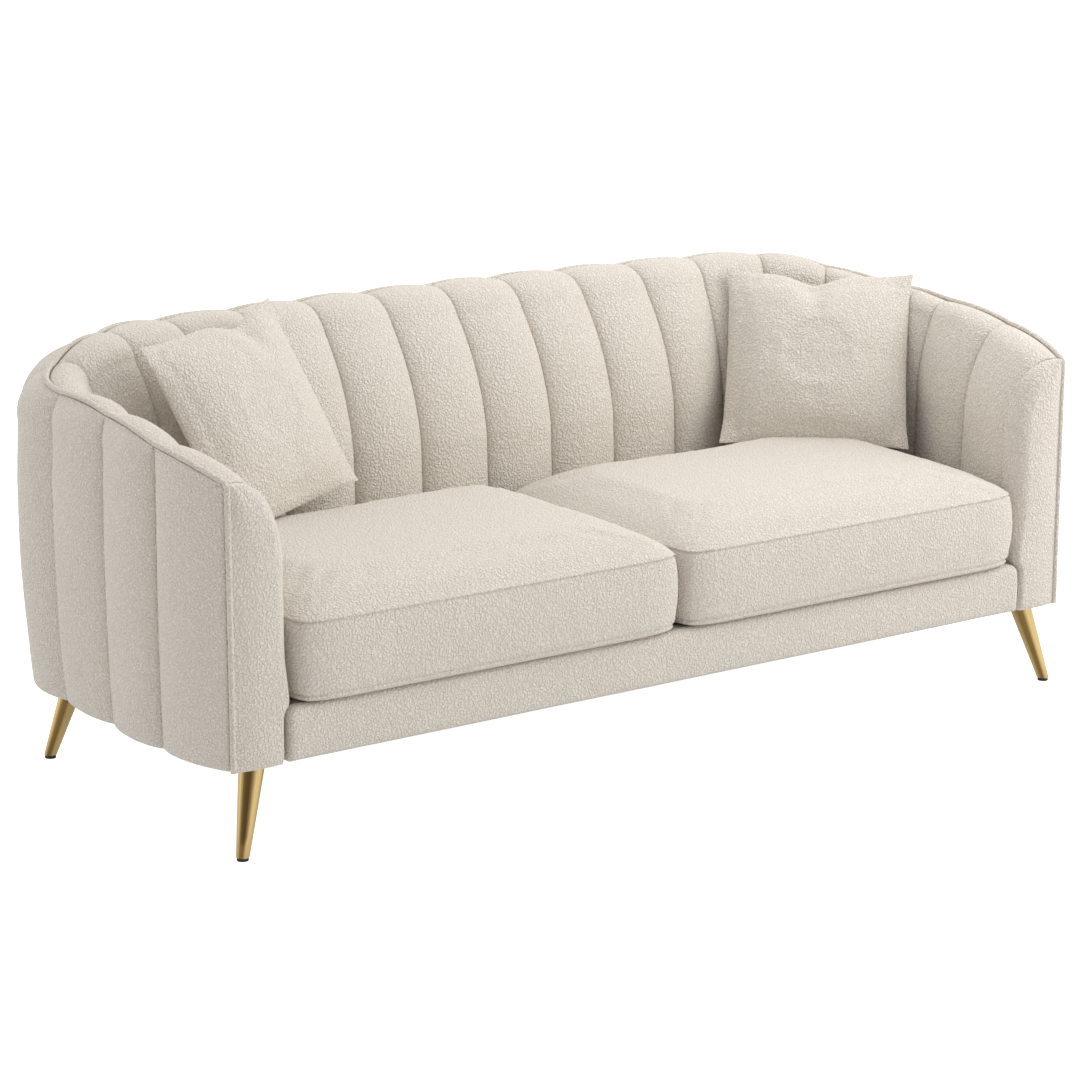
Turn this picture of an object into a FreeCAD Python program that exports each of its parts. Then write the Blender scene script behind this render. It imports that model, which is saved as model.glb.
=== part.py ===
# Tuxedo sofa with a channelled wrap-round shell, two loose seat cushions,
# two throw pillows and four splayed metal legs. Millimetres, +Z up.
# The origin is on the floor under the middle of the plan; the front faces -Y.
import FreeCAD
import Part
import Sketcher
import math
import os

doc = FreeCAD.newDocument("sofa")
V = FreeCAD.Vector

# Driving dimensions: alias, value and what it measures.
SIZES = [
    ("depth_front", 500, "origin to the cushions' front"),
    ("arm_front_in", 30, "cushion front to the arms' front welt"),
    ("underside", 167, "floor to the underside"),
    ("inner_half", 925, "centre to the arm's inner face behind the seat"),
    ("inner_back", 638, "arm front to the back's inner face at the seat"),
    ("inner_corner", 120, "radius of the inner corner in plan"),
    ("arm_draw_in", 47, "how far the inner arm face comes in at its front"),
    ("front_wrap", 42, "arm front to the foremost inner seam"),
    ("arm_thick", 125, "inner to outer seams of an arm behind the seat"),
    ("back_thick", 317, "inner to outer seams of the back"),
    ("outer_corner", 340, "radius of the outer corner in plan"),
    ("outer_draw_in", 46, "how far the outer arm line comes in at its front"),
    ("front_seam_back", 5, "arm front to the outer channels' front end"),
    ("front_taper", 280, "length over which the outer arm draws in"),
    ("back_pitch", 163, "seam spacing on the back"),
    ("inner_arm_pitch", 165, "seam spacing on the inner arm"),
    ("outer_arm_pitch", 187.5, "seam spacing on the outer arm"),
    ("roll_rise", 377, "underside to where the inner face starts to roll out"),
    ("roll_lean", 10, "lean of the inner face where the roll starts"),
    ("welt_rise_back", 648, "underside to the welt along the back"),
    ("welt_rise_arm", 598, "underside to the welt behind the arm"),
    ("welt_rise_front", 526, "underside to the welt at the arm's front corner"),
    ("welt_set_back", 67, "welt in from the outer line at the middle of the back"),
    ("welt_set_corner", 128, "welt in from the outer line at the rear corner"),
    ("welt_set_arm", 32, "welt in from the outer line behind the arm"),
    ("welt_set_front", 6, "welt in from the outer line at the front"),
    ("welt_front_in", 4, "upright welt in from the outer seam at the front"),
    ("welt_dia", 11, "diameter of the piping"),
    ("welt_gap", 0.95, "clearance of the piping in its seam"),
    ("scallop", 4, "how far the welt rises between two seams"),
    ("seam_gap", 0.5, "inner to outer channel at the root of the welt's seam"),
    ("seam_depth", 38, "depth of the seam allowance under the piping"),
    ("crest_rise", 10, "how far the back's roll rises over its welt"),
    ("shoulder_in", 2, "outer shoulder in from the widest line"),
    ("shoulder_drop", 40, "welt down to the outer shoulder at the arm's front"),
    ("bulge_rise", 283, "underside to the widest line of the outside"),
    ("hem_in_back", 20, "outside's draw-in at the underside, back"),
    ("hem_in_arm", 14, "outside's draw-in at the underside, arm"),
    ("inner_crown", 18, "crown of an inner channel on the back"),
    ("arm_crown", 13, "crown of an inner channel on the arm"),
    ("outer_crown", 12, "crown of an outer channel"),
    ("inner_fill", 32, "filling of an inner channel"),
    ("outer_fill", 18, "filling of an outer channel"),
    ("board", 18, "plywood of the shell's formers"),
    ("tack_board", 15, "plywood under the inner channels"),
    ("former_rise", 433, "underside to the middle former"),
    ("upper_rise", 533, "underside to the upper former"),
    ("former_clear", 4, "clearance between a former and the filling"),
    ("former_past", 8, "posts' inner face to the middle former"),
    ("tack_past", 6, "tack former past the posts"),
    ("upper_in", 150, "inner channels' face to the upper former"),
    ("riser_past", 14, "middle former past the risers"),
    ("post_clear", 31, "posts in from the arm's outer seams"),
    ("post_side", 32, "side of the square posts"),
    ("rail_rise", 73, "underside to the top of the seat rails"),
    ("rail_thick", 30, "thickness of the front and side rails"),
    ("back_rail_thick", 45, "thickness of the back seat rail"),
    ("back_rail_set", 23, "back seat rail in front of the back's inner seams"),
    ("rail_lap", 10, "front rail's ends past the corner blocks' inner faces"),
    ("stretcher_high", 46, "height of the seat stretchers"),
    ("stretcher_step", 430, "spacing of the seat stretchers"),
    ("side_rail_set", 5, "arm's inner seams to the inner face of a side rail"),
    ("block_past", 65, "corner blocks inside the arm's inner seams"),
    ("block_clear", 1, "front corner block to the outer filling"),
    ("rear_block_side", 78, "rear corner block in from the arm's outer seams"),
    ("block_long", 104, "front to back of a front corner block"),
    ("rear_block_long", 135, "front to back of a rear corner block"),
    ("rear_block_set", 220, "rear corner block in front of the outer back seams"),
    ("cloth", 1.5, "thickness of the dust cover"),
    ("cloth_in", 2, "dust cover's edge in from the outer filling"),
    ("cloth_corner", 4, "dust cover's front corners in from the blocks"),
    ("rail_pad_past", 17, "front rail's padding past the arm's inner front seam"),
    ("rail_pad_out", 12, "front rail's padding in front of the arm welt"),
    ("rail_pad_thick", 30, "thickness of the front rail's padding"),
    ("rail_pad_round", 26, "rounding of the padding's upper corners"),
    ("rail_pad_edge", 9, "rounding of the padding's front edges"),
    ("arm_pad_out", 8, "arm's front padding in front of its welt"),
    ("arm_pad_gap", 6, "front rail's padding to the arm's front padding"),
    ("arm_pad_clear", 0.3, "arm's front padding to the outer channels"),
    ("arm_pad_round", 8, "rounding of the arm's front padding"),
    ("arm_pad_under", 2, "arm's front padding under the middle of its welt"),
    ("arm_pad_swell", 60, "height in which that padding closes over the rail's"),
    ("deck_thick", 14, "thickness of the deck pad"),
    ("deck_side", 13, "deck pad in from the cushions' sides"),
    ("deck_gap", 2, "deck pad to the rail's padding and the channels"),
    ("spring_wire", 4, "diameter of the seat spring wire"),
    ("spring_wide", 52, "width of a seat spring over its bends"),
    ("spring_pitch", 30, "distance between a spring's cross runs"),
    ("spring_step", 205, "spacing of the seat springs"),
    ("clip_wide", 62, "width of a spring clip"),
    ("clip_long", 16, "length of a spring clip"),
    ("clip_high", 12, "height of a spring clip"),
    ("clip_set", 4, "rail's edge to its clips"),
    ("cushion_side", 5, "arm's inner front seam to a seat cushion's side"),
    ("cushion_gap", 0.5, "half the gap between the two seat cushions"),
    ("cushion_clear", 8, "back channels' crests to the seat cushions"),
    ("cushion_box", 152, "deck to the cushions' upper seam"),
    ("cushion_crown", 64, "rise of the cushions' crown over that seam"),
    ("cushion_draw", 12, "how far a cushion's sides are drawn in at the ends"),
    ("soft_gap", 0.3, "clearance of loose soft pieces"),
    ("pillow_side", 400, "side of a pillow from ear to ear"),
    ("pillow_thick", 128, "thickness of a pillow"),
    ("pillow_draw", 20, "how far a pillow's edges are drawn in"),
    ("left_pillow_side", 312, "arm's inner seams to the left pillow's middle"),
    ("left_pillow_back", 72, "back's inner seams to the left pillow's middle"),
    ("left_pillow_rise", 184, "cushions' crown to the left pillow's middle"),
    ("right_pillow_side", 158, "arm's inner seams to the right pillow's middle"),
    ("right_pillow_back", 128, "back's inner seams to the right pillow's middle"),
    ("right_pillow_rise", 151.3, "cushions' crown to the right pillow's middle"),
    ("foot_dia", 25, "diameter of a leg at its foot"),
    ("leg_dia", 48, "diameter of a leg at its top"),
    ("glide_thick", 6, "height of a leg's glide"),
    ("glide_dia", 22, "diameter of a leg's glide"),
    ("foot_set", 68, "foot in from the arm's outer seams"),
    ("leg_splay_x", 43, "sideways splay of a leg"),
    ("leg_splay_y", 34, "splay of a leg to the front or back"),
    ("front_foot", 4, "arm front to a front foot"),
    ("plate_set", 1, "rear leg plate in from the back of its block"),
    ("plate_thick", 3, "thickness of a leg plate"),
    ("plate_wide", 80, "width of a leg plate"),
    ("plate_long", 90, "length of a leg plate"),
    ("screw_dia", 5, "diameter of a leg plate screw"),
    ("screw_clear", 0.25, "clearance round a screw in its plate"),
    ("screw_long", 34, "length of a leg plate screw"),
    ("screw_step_x", 60, "spacing of a plate's screws across"),
    ("screw_step_y", 34, "spacing of a plate's screws front to back"),
    ("screw_edge", 10, "plate's far edge to its screws"),
]

sheet = doc.addObject("Spreadsheet::Sheet", "Dims")
for row, (alias, value, note) in enumerate(SIZES, start=1):
    sheet.set("A%d" % row, note)
    sheet.set("B%d" % row, str(value))
    sheet.setAlias("B%d" % row, alias)
doc.recompute()


def size(alias):
    """A driving dimension, as a number."""
    return float(sheet.get(alias))


def worked(formula):
    """A place worked out from the sheet's sizes, as a number."""
    return float(sheet.evalExpression(formula))


# Places that several pieces share, as formulas of the sizes: lengths to the
# back are measured from the arm front, and heights from the floor.
FRONT = "(Dims.arm_front_in - Dims.depth_front)"
OUTER_HALF = "(Dims.inner_half + Dims.arm_thick)"
OUTER_BACK = "(Dims.inner_back + Dims.back_thick)"
ARM_FACE = "(Dims.inner_half - Dims.arm_draw_in)"
RAIL_FRONT = "(Dims.rail_pad_thick - Dims.rail_pad_out)"
BLOCK_FRONT = "(%s + Dims.rail_thick)" % RAIL_FRONT
BLOCK_IN = "(Dims.inner_half - Dims.block_past)"
REAR_BLOCK_BACK = "(%s - Dims.rear_block_set)" % OUTER_BACK
BACK_RAIL = "(Dims.inner_back - Dims.back_rail_set)"
RAIL_HALF = "(%s + Dims.rail_lap)" % BLOCK_IN
RAIL_TOP = "(Dims.underside + Dims.rail_rise)"
DECK_TOP = "(%s + Dims.clip_high + Dims.spring_wire + Dims.deck_thick)" % RAIL_TOP
PAD_HALF = "(%s + Dims.rail_pad_past)" % ARM_FACE
CUSHION_HALF = "(%s - Dims.cushion_side)" % ARM_FACE
CUSHION_BACK = "(Dims.inner_back - Dims.inner_crown - Dims.cushion_clear)"
DECK_HALF = "(%s - Dims.deck_side)" % CUSHION_HALF
FOOT_HALF = "(%s - Dims.foot_set)" % OUTER_HALF
FRONT_FOOT = "Dims.front_foot"
REAR_FOOT = "(%s - Dims.plate_set - Dims.leg_dia / 2 + Dims.leg_splay_y)" % REAR_BLOCK_BACK

front_line = worked(FRONT)
underside = size("underside")
outer_half = worked(OUTER_HALF)
outer_back = worked(OUTER_BACK)
front_half = outer_half - size("outer_draw_in")
rail_top = worked(RAIL_TOP)
deck_top = worked(DECK_TOP)
channel_foot = rail_top + size("tack_board")
cushion_seam = deck_top + size("cushion_box")
welt_dia = size("welt_dia")
inner_fill = size("inner_fill")
outer_fill = size("outer_fill")
SEAMS = 10          # seams from the middle of the back to an arm's front corner
BACK_SEAMS = 3      # of these, pitches on the straight back
ARM_SEAMS = 2       # and pitches on the arm
STEP = 0.25         # pitches from one sampled station to the next


def level(alias):
    """A height over the floor, of a size measured from the underside."""
    return underside + size(alias)


nodes = []


def keep(item, label):
    """Name a finished piece and list it for writing."""
    item.Label = label
    nodes.append(item)
    return item


def feature(label, shape):
    """A piece whose shape is worked out from the sheet's sizes."""
    item = doc.addObject("Part::Feature", label)
    item.Shape = shape
    item.Placement = FreeCAD.Placement()
    return keep(item, label)


def box(label, length, width, height, where):
    """A plain board bound to the sheet by its expressions."""
    item = doc.addObject("Part::Box", label)
    item.setExpression("Length", length)
    item.setExpression("Width", width)
    item.setExpression("Height", height)
    for axis, formula in zip("xyz", where):
        item.setExpression("Placement.Base." + axis, formula)
    return keep(item, label)


# The shell's plan
# Two lines in plan, at seat level inside and at the widest level outside.
# Each is walked by its length from the middle of the back.

def corner_walk(length, half, back, radius):
    """Point at a length along the back, round the corner, then forwards."""
    straight = half - radius
    quarter = radius * math.pi / 2
    if length <= straight:
        return length, back
    if length <= straight + quarter:
        turn = (length - straight) / radius
        return straight + radius * math.sin(turn), back - radius * (1 - math.cos(turn))
    return half, back - radius - (length - straight - quarter)


def inner_length():
    corner = size("inner_corner")
    straight = size("inner_half") - corner
    arm = size("inner_back") - corner - size("front_wrap")
    return straight + corner * math.pi / 2 + arm


def outer_length():
    corner = size("outer_corner")
    straight = outer_half - corner
    arm = outer_back - corner - size("front_seam_back")
    return straight + corner * math.pi / 2 + arm


def seam_length(seam, total, arm_pitch):
    """Length along a plan line to a seam: even on the back and on the arm."""
    back = BACK_SEAMS * size("back_pitch")
    arm_from = SEAMS - ARM_SEAMS
    arm_start = total - ARM_SEAMS * arm_pitch
    if seam <= BACK_SEAMS:
        return seam * size("back_pitch")
    if seam <= arm_from:
        share = (seam - BACK_SEAMS) / (arm_from - BACK_SEAMS)
        return back + share * (arm_start - back)
    return arm_start + (seam - arm_from) * arm_pitch


def inner_point(seam):
    length = seam_length(seam, inner_length(), size("inner_arm_pitch"))
    corner = size("inner_corner")
    x, y = corner_walk(length, size("inner_half"), size("inner_back"), corner)
    arm = size("inner_back") - corner
    if y < arm:
        x -= size("arm_draw_in") * ((arm - y) / (arm - size("front_wrap"))) ** 2
    return x, y


def outer_point(seam):
    length = seam_length(seam, outer_length(), size("outer_arm_pitch"))
    x, y = corner_walk(length, outer_half, outer_back, size("outer_corner"))
    taper = size("front_taper")
    if y < taper:
        x -= size("outer_draw_in") * ((taper - y) / taper) ** 2
    return x, y


def ease(low, high, share):
    """A smooth step from low to high."""
    share = min(max(share, 0.0), 1.0)
    return low + (high - low) * (1 - math.cos(math.pi * share)) / 2


# Where the welt and the hem run at each seam: the rear corner is about seam 5
# and the arm begins at about seam 7.
REAR_CORNER = 5.0
ARM_BEGINS = 7.0


def welt_set_in(seam):
    if seam <= REAR_CORNER:
        rise = (seam / REAR_CORNER) ** 2.5
        return size("welt_set_back") + (size("welt_set_corner") - size("welt_set_back")) * rise
    if seam <= ARM_BEGINS:
        share = (seam - REAR_CORNER) / (ARM_BEGINS - REAR_CORNER)
        return ease(size("welt_set_corner"), size("welt_set_arm"), share)
    share = (seam - ARM_BEGINS) / (SEAMS - ARM_BEGINS)
    return size("welt_set_arm") + share * (size("welt_set_front") - size("welt_set_arm"))


def welt_level(seam):
    arm = level("welt_rise_arm")
    if seam <= ARM_BEGINS:
        share = (seam - REAR_CORNER) / (ARM_BEGINS - REAR_CORNER)
        return ease(level("welt_rise_back"), arm, share)
    drop = ((seam - ARM_BEGINS) / (SEAMS - ARM_BEGINS)) ** 2
    return arm - (arm - level("welt_rise_front")) * drop


def hem_in(seam):
    if seam <= ARM_BEGINS:
        share = (seam - REAR_CORNER) / (ARM_BEGINS - REAR_CORNER)
        return ease(size("hem_in_back"), size("hem_in_arm"), share)
    return size("hem_in_arm") * (SEAMS - seam) / (SEAMS - ARM_BEGINS)


class Station:
    """An upright plane through the shell, at a seam or between two.

    Its first axis runs outwards in plan from the inner face at seat level,
    its second upwards. Seams are counted from the middle of the back, and
    are negative on the left.
    """

    def __init__(self, seam):
        side = -1 if seam < 0 else 1
        seam = abs(seam)
        self.seam = seam
        inner = inner_point(seam)
        outer = outer_point(seam)
        self.start = V(side * inner[0], front_line + inner[1], 0)
        end = V(side * outer[0], front_line + outer[1], 0)
        self.total = (end - self.start).Length
        self.out = (end - self.start).normalize()
        self.welt = (self.total - welt_set_in(seam), welt_level(seam))
        self.hem = hem_in(seam)

    def at(self, across, up):
        return self.start + self.out * across + V(0, 0, up)

    def root(self):
        """Where the seam allowance under the welt ends."""
        lean = 0.45
        depth = size("seam_depth")
        run = math.hypot(lean, 1.0)
        return (self.welt[0] - depth * lean / run, self.welt[1] - depth / run)


def seam_lips(station, rise):
    """The two edges that the piping lies between, inner then outer."""
    half = welt_dia / 2 + size("welt_gap")
    across, up = station.welt
    return (across - 1.08 * half, up - 0.17 * half + rise), (across + 0.9 * half, up - 0.48 * half + rise)


def crown_share(seam):
    """Crown of an inner channel, less on the arm than on the back."""
    return ease(size("inner_crown"), size("arm_crown"), (abs(seam) - 6) / 2)


def inner_section(seam, crown):
    """Outline of an inner channel in a station's plane."""
    plane = Station(seam)
    reach, top = plane.welt
    lip = seam_lips(plane, size("scallop") * bool(crown))[0]
    root = plane.root()
    low = level("roll_rise")
    rise = top - low
    foot = channel_foot
    over = ease(size("crest_rise"), 0, (plane.seam - REAR_CORNER) / 2)
    lean = size("roll_lean")
    first = plane.at(-crown, foot)
    start = plane.at(lean - crown, low)
    via_low = plane.at(0.20 * reach - 0.93 * crown, low + 0.48 * rise + 0.3 * crown)
    middle = plane.at(0.46 * reach - 0.66 * crown, low + 0.85 * rise + 0.55 * crown)
    via_high = plane.at(0.76 * reach - 0.15 * crown, top + over + 0.42 * crown)
    end = plane.at(*lip)
    back_top = plane.at(root[0], root[1])
    back_via = plane.at(
        lean + inner_fill + 0.36 * (root[0] - lean - inner_fill),
        low + 0.62 * (root[1] - low),
    )
    back_low = plane.at(lean + inner_fill, low)
    back_foot = plane.at(inner_fill, foot)
    edges = [
        Part.makeLine(first, start),
        Part.Arc(start, via_low, middle).toShape(),
        Part.Arc(middle, via_high, end).toShape(),
        Part.makeLine(end, back_top),
        Part.Arc(back_top, back_via, back_low).toShape(),
        Part.makeLine(back_low, back_foot),
        Part.makeLine(back_foot, first),
    ]
    return Part.Wire(edges)


def outer_section(seam, crown):
    """Outline of an outer channel in a station's plane."""
    plane = Station(seam)
    total = plane.total
    set_in = total - plane.welt[0]
    lip = seam_lips(plane, size("scallop") * bool(crown))[1]
    shoulder = (
        total - size("shoulder_in") - 0.08 * set_in + crown,
        plane.welt[1] - size("shoulder_drop") - 0.9 * set_in,
    )
    via = (0.29 * lip[0] + 0.71 * shoulder[0], 0.71 * lip[1] + 0.29 * shoulder[1])
    hem = total - plane.hem
    bulge = total - outer_fill
    root = plane.root()
    top = plane.at(*lip)
    widest = plane.at(total + crown, level("bulge_rise"))
    low = plane.at(hem + 0.8 * crown, underside)
    low_in = plane.at(hem - outer_fill, underside)
    bulge_in = plane.at(bulge, level("bulge_rise"))
    top_in = plane.at(root[0] + size("seam_gap"), root[1])
    edges = [
        Part.Arc(top, plane.at(*via), plane.at(*shoulder)).toShape(),
        Part.Arc(plane.at(*shoulder), widest, low).toShape(),
        Part.makeLine(low, low_in),
        Part.makeLine(low_in, bulge_in),
        Part.makeLine(bulge_in, top_in),
        Part.makeLine(top_in, top),
    ]
    return Part.Wire(edges)


def channel(section, seam, crown):
    """A stuffed channel from one seam to the next, fullest half way."""
    wires = [section(seam, 0), section(seam + 0.5, crown), section(seam + 1, 0)]
    return Part.makeLoft(wires, True, False)


for number in range(2 * SEAMS):
    seam = number - SEAMS
    shape = channel(inner_section, seam, crown_share(seam + 0.5))
    feature("inner_channel_%02d" % (number + 1), shape)

outer_channels = []
for number in range(2 * SEAMS):
    outer_channels.append(channel(outer_section, number - SEAMS, size("outer_crown")))
feature("outer_channels_left_arm", Part.makeCompound(outer_channels[0:3]))
feature("outer_channels_rear_left", Part.makeCompound(outer_channels[3:6]))
feature("outer_channels_back", Part.makeCompound(outer_channels[6:14]))
feature("outer_channels_rear_right", Part.makeCompound(outer_channels[14:17]))
feature("outer_channels_right_arm", Part.makeCompound(outer_channels[17:20]))


# The arms' front padding
# It closes the end of each arm from the foremost inner seam round to the welt.

def arm_front_outline(side, out_in, out_edge, shrink):
    """Outline of the padding on an upright plane: out_in and out_edge are how
    far the plane stands in front of the arm front, inside and at the welt."""
    inner = worked(ARM_FACE)
    low_in = worked(PAD_HALF) + size("arm_pad_gap")
    edge = front_half - size("welt_front_in") - welt_dia / 2 - size("welt_gap")
    wide = edge - inner
    low = level("roll_rise")
    top = level("welt_rise_front") - size("arm_pad_under")
    rise = top - low

    def at(x, up):
        share = (x - inner) / wide
        y = front_line - out_in - share * (out_edge - out_in)
        return V(side * x, y, up)

    hem = at(low_in + 0.5 * shrink, underside)
    rail_corner = at(low_in + 0.5 * shrink, deck_top - size("rail_pad_round"))
    swell_via = at(inner + 0.26 * (low_in - inner) + shrink, deck_top + 0.07 * size("arm_pad_swell"))
    swell = at(inner + shrink, deck_top + size("arm_pad_swell"))
    roll_start = at(inner + shrink, low)
    roll_via = at(inner + 0.08 * wide + shrink, low + 0.41 * rise)
    roll = at(inner + 0.29 * wide + 0.8 * shrink, low + 0.77 * rise - 0.5 * shrink)
    crest_via = at(inner + 0.59 * wide + 0.3 * shrink, low + 0.94 * rise - 0.9 * shrink)
    corner = at(edge, top - shrink)
    edges = [
        Part.makeLine(hem, rail_corner),
        Part.Arc(rail_corner, swell_via, swell).toShape(),
        Part.makeLine(swell, roll_start),
        Part.Arc(roll_start, roll_via, roll).toShape(),
        Part.Arc(roll, crest_via, corner).toShape(),
        Part.makeLine(corner, at(edge, underside)),
        Part.makeLine(at(edge, underside), hem),
    ]
    return Part.Wire(edges)


for side, name in ((-1, "left"), (1, "right")):
    back = -size("front_wrap")
    seam = -size("front_seam_back") + size("arm_pad_clear")
    wires = [
        arm_front_outline(side, back, seam, 0),
        arm_front_outline(side, 0.35 * back, 0.4 * seam, 0),
        arm_front_outline(side, size("arm_pad_out"), 0, size("arm_pad_round")),
    ]
    feature("arm_front_pad_" + name, Part.makeLoft(wires, True, True))


# The welt
# A piped bead up each arm's front corner and round the shell's outer top edge.

def welt_points():
    """Middle of the bead, from the left front hem round to the right one."""
    half = front_half - size("welt_front_in")
    top = level("welt_rise_front")
    bend = 1.1 * welt_dia
    rise = []
    for side in (-1, 1):
        rise.append([
            V(side * half, front_line, underside),
            V(side * half, front_line, top - bend),
            V(side * half, front_line + 0.15 * bend, top - 0.45 * bend),
            V(side * half, front_line + 0.5 * bend, top - 0.1 * bend),
        ])
    round_top = []
    for number in range(2 * SEAMS):
        seam = number - SEAMS
        ends = []
        for share in (0, 0.5, 1):
            plane = Station(seam + share)
            up = plane.welt[1] + size("scallop") * (share == 0.5)
            ends.append(plane.at(plane.welt[0], up))
        for share in (0, 0.25, 0.5, 0.75):
            start = ends[0] * ((1 - share) * (1 - 2 * share))
            middle = ends[1] * (4 * share * (1 - share))
            end = ends[2] * (share * (2 * share - 1))
            round_top.append(start + middle + end)
    round_top.append(Station(SEAMS).at(*Station(SEAMS).welt))
    return rise[0] + round_top[1:-1] + rise[1][::-1]


def ring_wire(point, along, radius):
    """A circle across a path, its first point outwards in plan."""
    along = V(along).normalize()
    out = V(point.x, point.y, 0).normalize()
    out = (out - along * out.dot(along)).normalize()
    circle = Part.makeCircle(radius)
    circle.Placement = FreeCAD.Placement(point, FreeCAD.Rotation(out, along.cross(out), along, "ZXY"))
    return Part.Wire([circle])


def bead(points, radius):
    """A round bead through points, mitred at each."""
    path = Part.Wire(Part.makePolygon(points).Edges)
    start = ring_wire(points[0], points[1] - points[0], radius)
    return path.makePipeShell([start], True, False, 1)


feature("welt", bead(welt_points(), welt_dia / 2))


# The seat frame
# Rails, blocks and stretchers stand on the dust cover's level.
FRAME_LOW = "(Dims.underside + Dims.cloth)"
FRAME_HIGH = "(Dims.rail_rise - Dims.cloth)"
box(
    "front_rail", "2 * %s" % RAIL_HALF, "Dims.rail_thick", FRAME_HIGH,
    ("-" + RAIL_HALF, "%s + %s" % (FRONT, RAIL_FRONT), FRAME_LOW),
)
box(
    "back_rail", "2 * %s" % BLOCK_IN, "Dims.back_rail_thick", FRAME_HIGH,
    ("-" + BLOCK_IN, "%s + %s" % (FRONT, BACK_RAIL), FRAME_LOW),
)
for side, name in (("-1", "left"), ("1", "right")):
    shift = "0" if side == "1" else "-Dims.rail_thick"
    box(
        "side_rail_" + name, "Dims.rail_thick",
        "%s - Dims.rear_block_long - Dims.block_long - %s" % (REAR_BLOCK_BACK, BLOCK_FRONT),
        FRAME_HIGH,
        (
            "%s * (Dims.inner_half + Dims.side_rail_set) + %s" % (side, shift),
            "%s + %s + Dims.block_long" % (FRONT, BLOCK_FRONT),
            FRAME_LOW,
        ),
    )

low = underside + size("cloth")
high = rail_top - low
rail_front = worked(RAIL_FRONT)
block_front = worked(BLOCK_FRONT)
block_in = worked(BLOCK_IN)
block_out = front_half - outer_fill - size("block_clear")
rear_block_out = outer_half - size("rear_block_side")
rear_block_front = worked(REAR_BLOCK_BACK) - size("rear_block_long")
blocks = []
for side in (-1, 1):
    for outer_face, long, front in (
        (block_out, size("block_long"), block_front),
        (rear_block_out, size("rear_block_long"), rear_block_front),
    ):
        left = block_in if side > 0 else -outer_face
        where = V(left, front_line + front, low)
        blocks.append(Part.makeBox(outer_face - block_in, long, high, where))
feature("corner_blocks", Part.makeCompound(blocks))

stretchers = []
for place in (-1, 0, 1):
    left = place * size("stretcher_step") - size("rail_thick") / 2
    long = worked(BACK_RAIL) - block_front
    where = V(left, front_line + block_front, low)
    stretchers.append(Part.makeBox(size("rail_thick"), long, size("stretcher_high"), where))
feature("stretchers", Part.makeCompound(stretchers))


# The shell's formers
# Plywood rings cut to the shell's plan, with posts between them.

def ring(first, last, inner, outer, low, thick):
    """A flat plate between two distances out from the inner face."""
    count = round((last - first) / STEP)
    seams = [first + STEP * index for index in range(count + 1)]
    inside = [Station(seam).at(inner(Station(seam)), low) for seam in seams]
    outside = [Station(seam).at(outer(Station(seam)), low) for seam in seams]
    corners = inside + outside[::-1]
    face = Part.Face(Part.makePolygon(corners + corners[:1]))
    return face.extrude(V(0, 0, thick))


def filling_face(plane, up):
    """Distance out to the inside of the outer channels' filling at a height."""
    bulge = level("bulge_rise")
    widest = plane.total - outer_fill
    if up < bulge:
        return widest - plane.hem * (bulge - up) / (bulge - underside)
    root = plane.root()
    return widest + (root[0] - widest) * (up - bulge) / (root[1] - bulge)


def reach_to(limit, up):
    """The outer edge of a former: a limit, or short of the filling."""
    clear = size("former_clear")
    return lambda plane: min(limit, filling_face(plane, up) - clear)


def level_with(y):
    """The inner edge of a former that butts on a straight rail."""
    return lambda plane: (front_line + y - plane.start.y) / plane.out.y


END = SEAMS - STEP
post_in = size("arm_thick") - size("post_clear") - size("post_side")
post_out = post_in + size("post_side")
former_low = level("former_rise")
upper_low = level("upper_rise")
board = size("board")
tack = ring(
    -END, END, lambda plane: 0,
    reach_to(post_out + size("tack_past"), rail_top), rail_top, size("tack_board"),
)
feature("tack_former", tack)
former_out = size("upper_in") + size("post_side") + size("riser_past")
middle = ring(
    -END, END, lambda plane: post_in + size("former_past"),
    reach_to(former_out, former_low + board), former_low, board,
)
feature("middle_former", middle)
upper = ring(
    -REAR_CORNER, REAR_CORNER, lambda plane: size("upper_in"),
    reach_to(outer_back, upper_low + board), upper_low, board,
)
feature("upper_former", upper)
base = ring(
    STEP - REAR_CORNER, REAR_CORNER - STEP, level_with(worked(BACK_RAIL) + size("back_rail_thick")),
    reach_to(outer_back, low), low, board,
)
feature("base_former", base)


def post(seam, inner, low, high):
    """A square post in a station's plane."""
    plane = Station(seam)
    side = size("post_side")
    solid = Part.makeBox(side, side, high - low, V(0, -side / 2, 0))
    turn = math.degrees(math.atan2(plane.out.y, plane.out.x))
    solid.rotate(V(0, 0, 0), V(0, 0, 1), turn)
    solid.translate(plane.at(inner, low))
    return solid


POST_SEAMS = (-9.5, -8, -6, -3, 0, 3, 6, 8, 9.5)
RISER_SEAMS = (-3, 0, 3)
posts = [post(seam, post_in, channel_foot, former_low) for seam in POST_SEAMS]
feature("shell_posts", Part.makeCompound(posts))
risers = [post(seam, size("upper_in"), former_low + board, upper_low) for seam in RISER_SEAMS]
feature("upper_risers", Part.makeCompound(risers))


# The dust cover under the frame.
outline = []
for index in range(round(2 * END / STEP) + 1):
    plane = Station(index * STEP - END)
    outline.append(plane.at(plane.total - plane.hem - outer_fill - size("cloth_in"), underside))
rail_half = worked(RAIL_HALF)
corner_half = block_out - size("cloth_corner")
for x, back in (
    (corner_half, block_front), (rail_half, block_front), (rail_half, rail_front),
    (-rail_half, rail_front), (-rail_half, block_front), (-corner_half, block_front),
):
    outline.append(V(x, front_line + back, underside))
cover = Part.Face(Part.makePolygon(outline + outline[:1])).extrude(V(0, 0, size("cloth")))
feature("dust_cover", cover)


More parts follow.
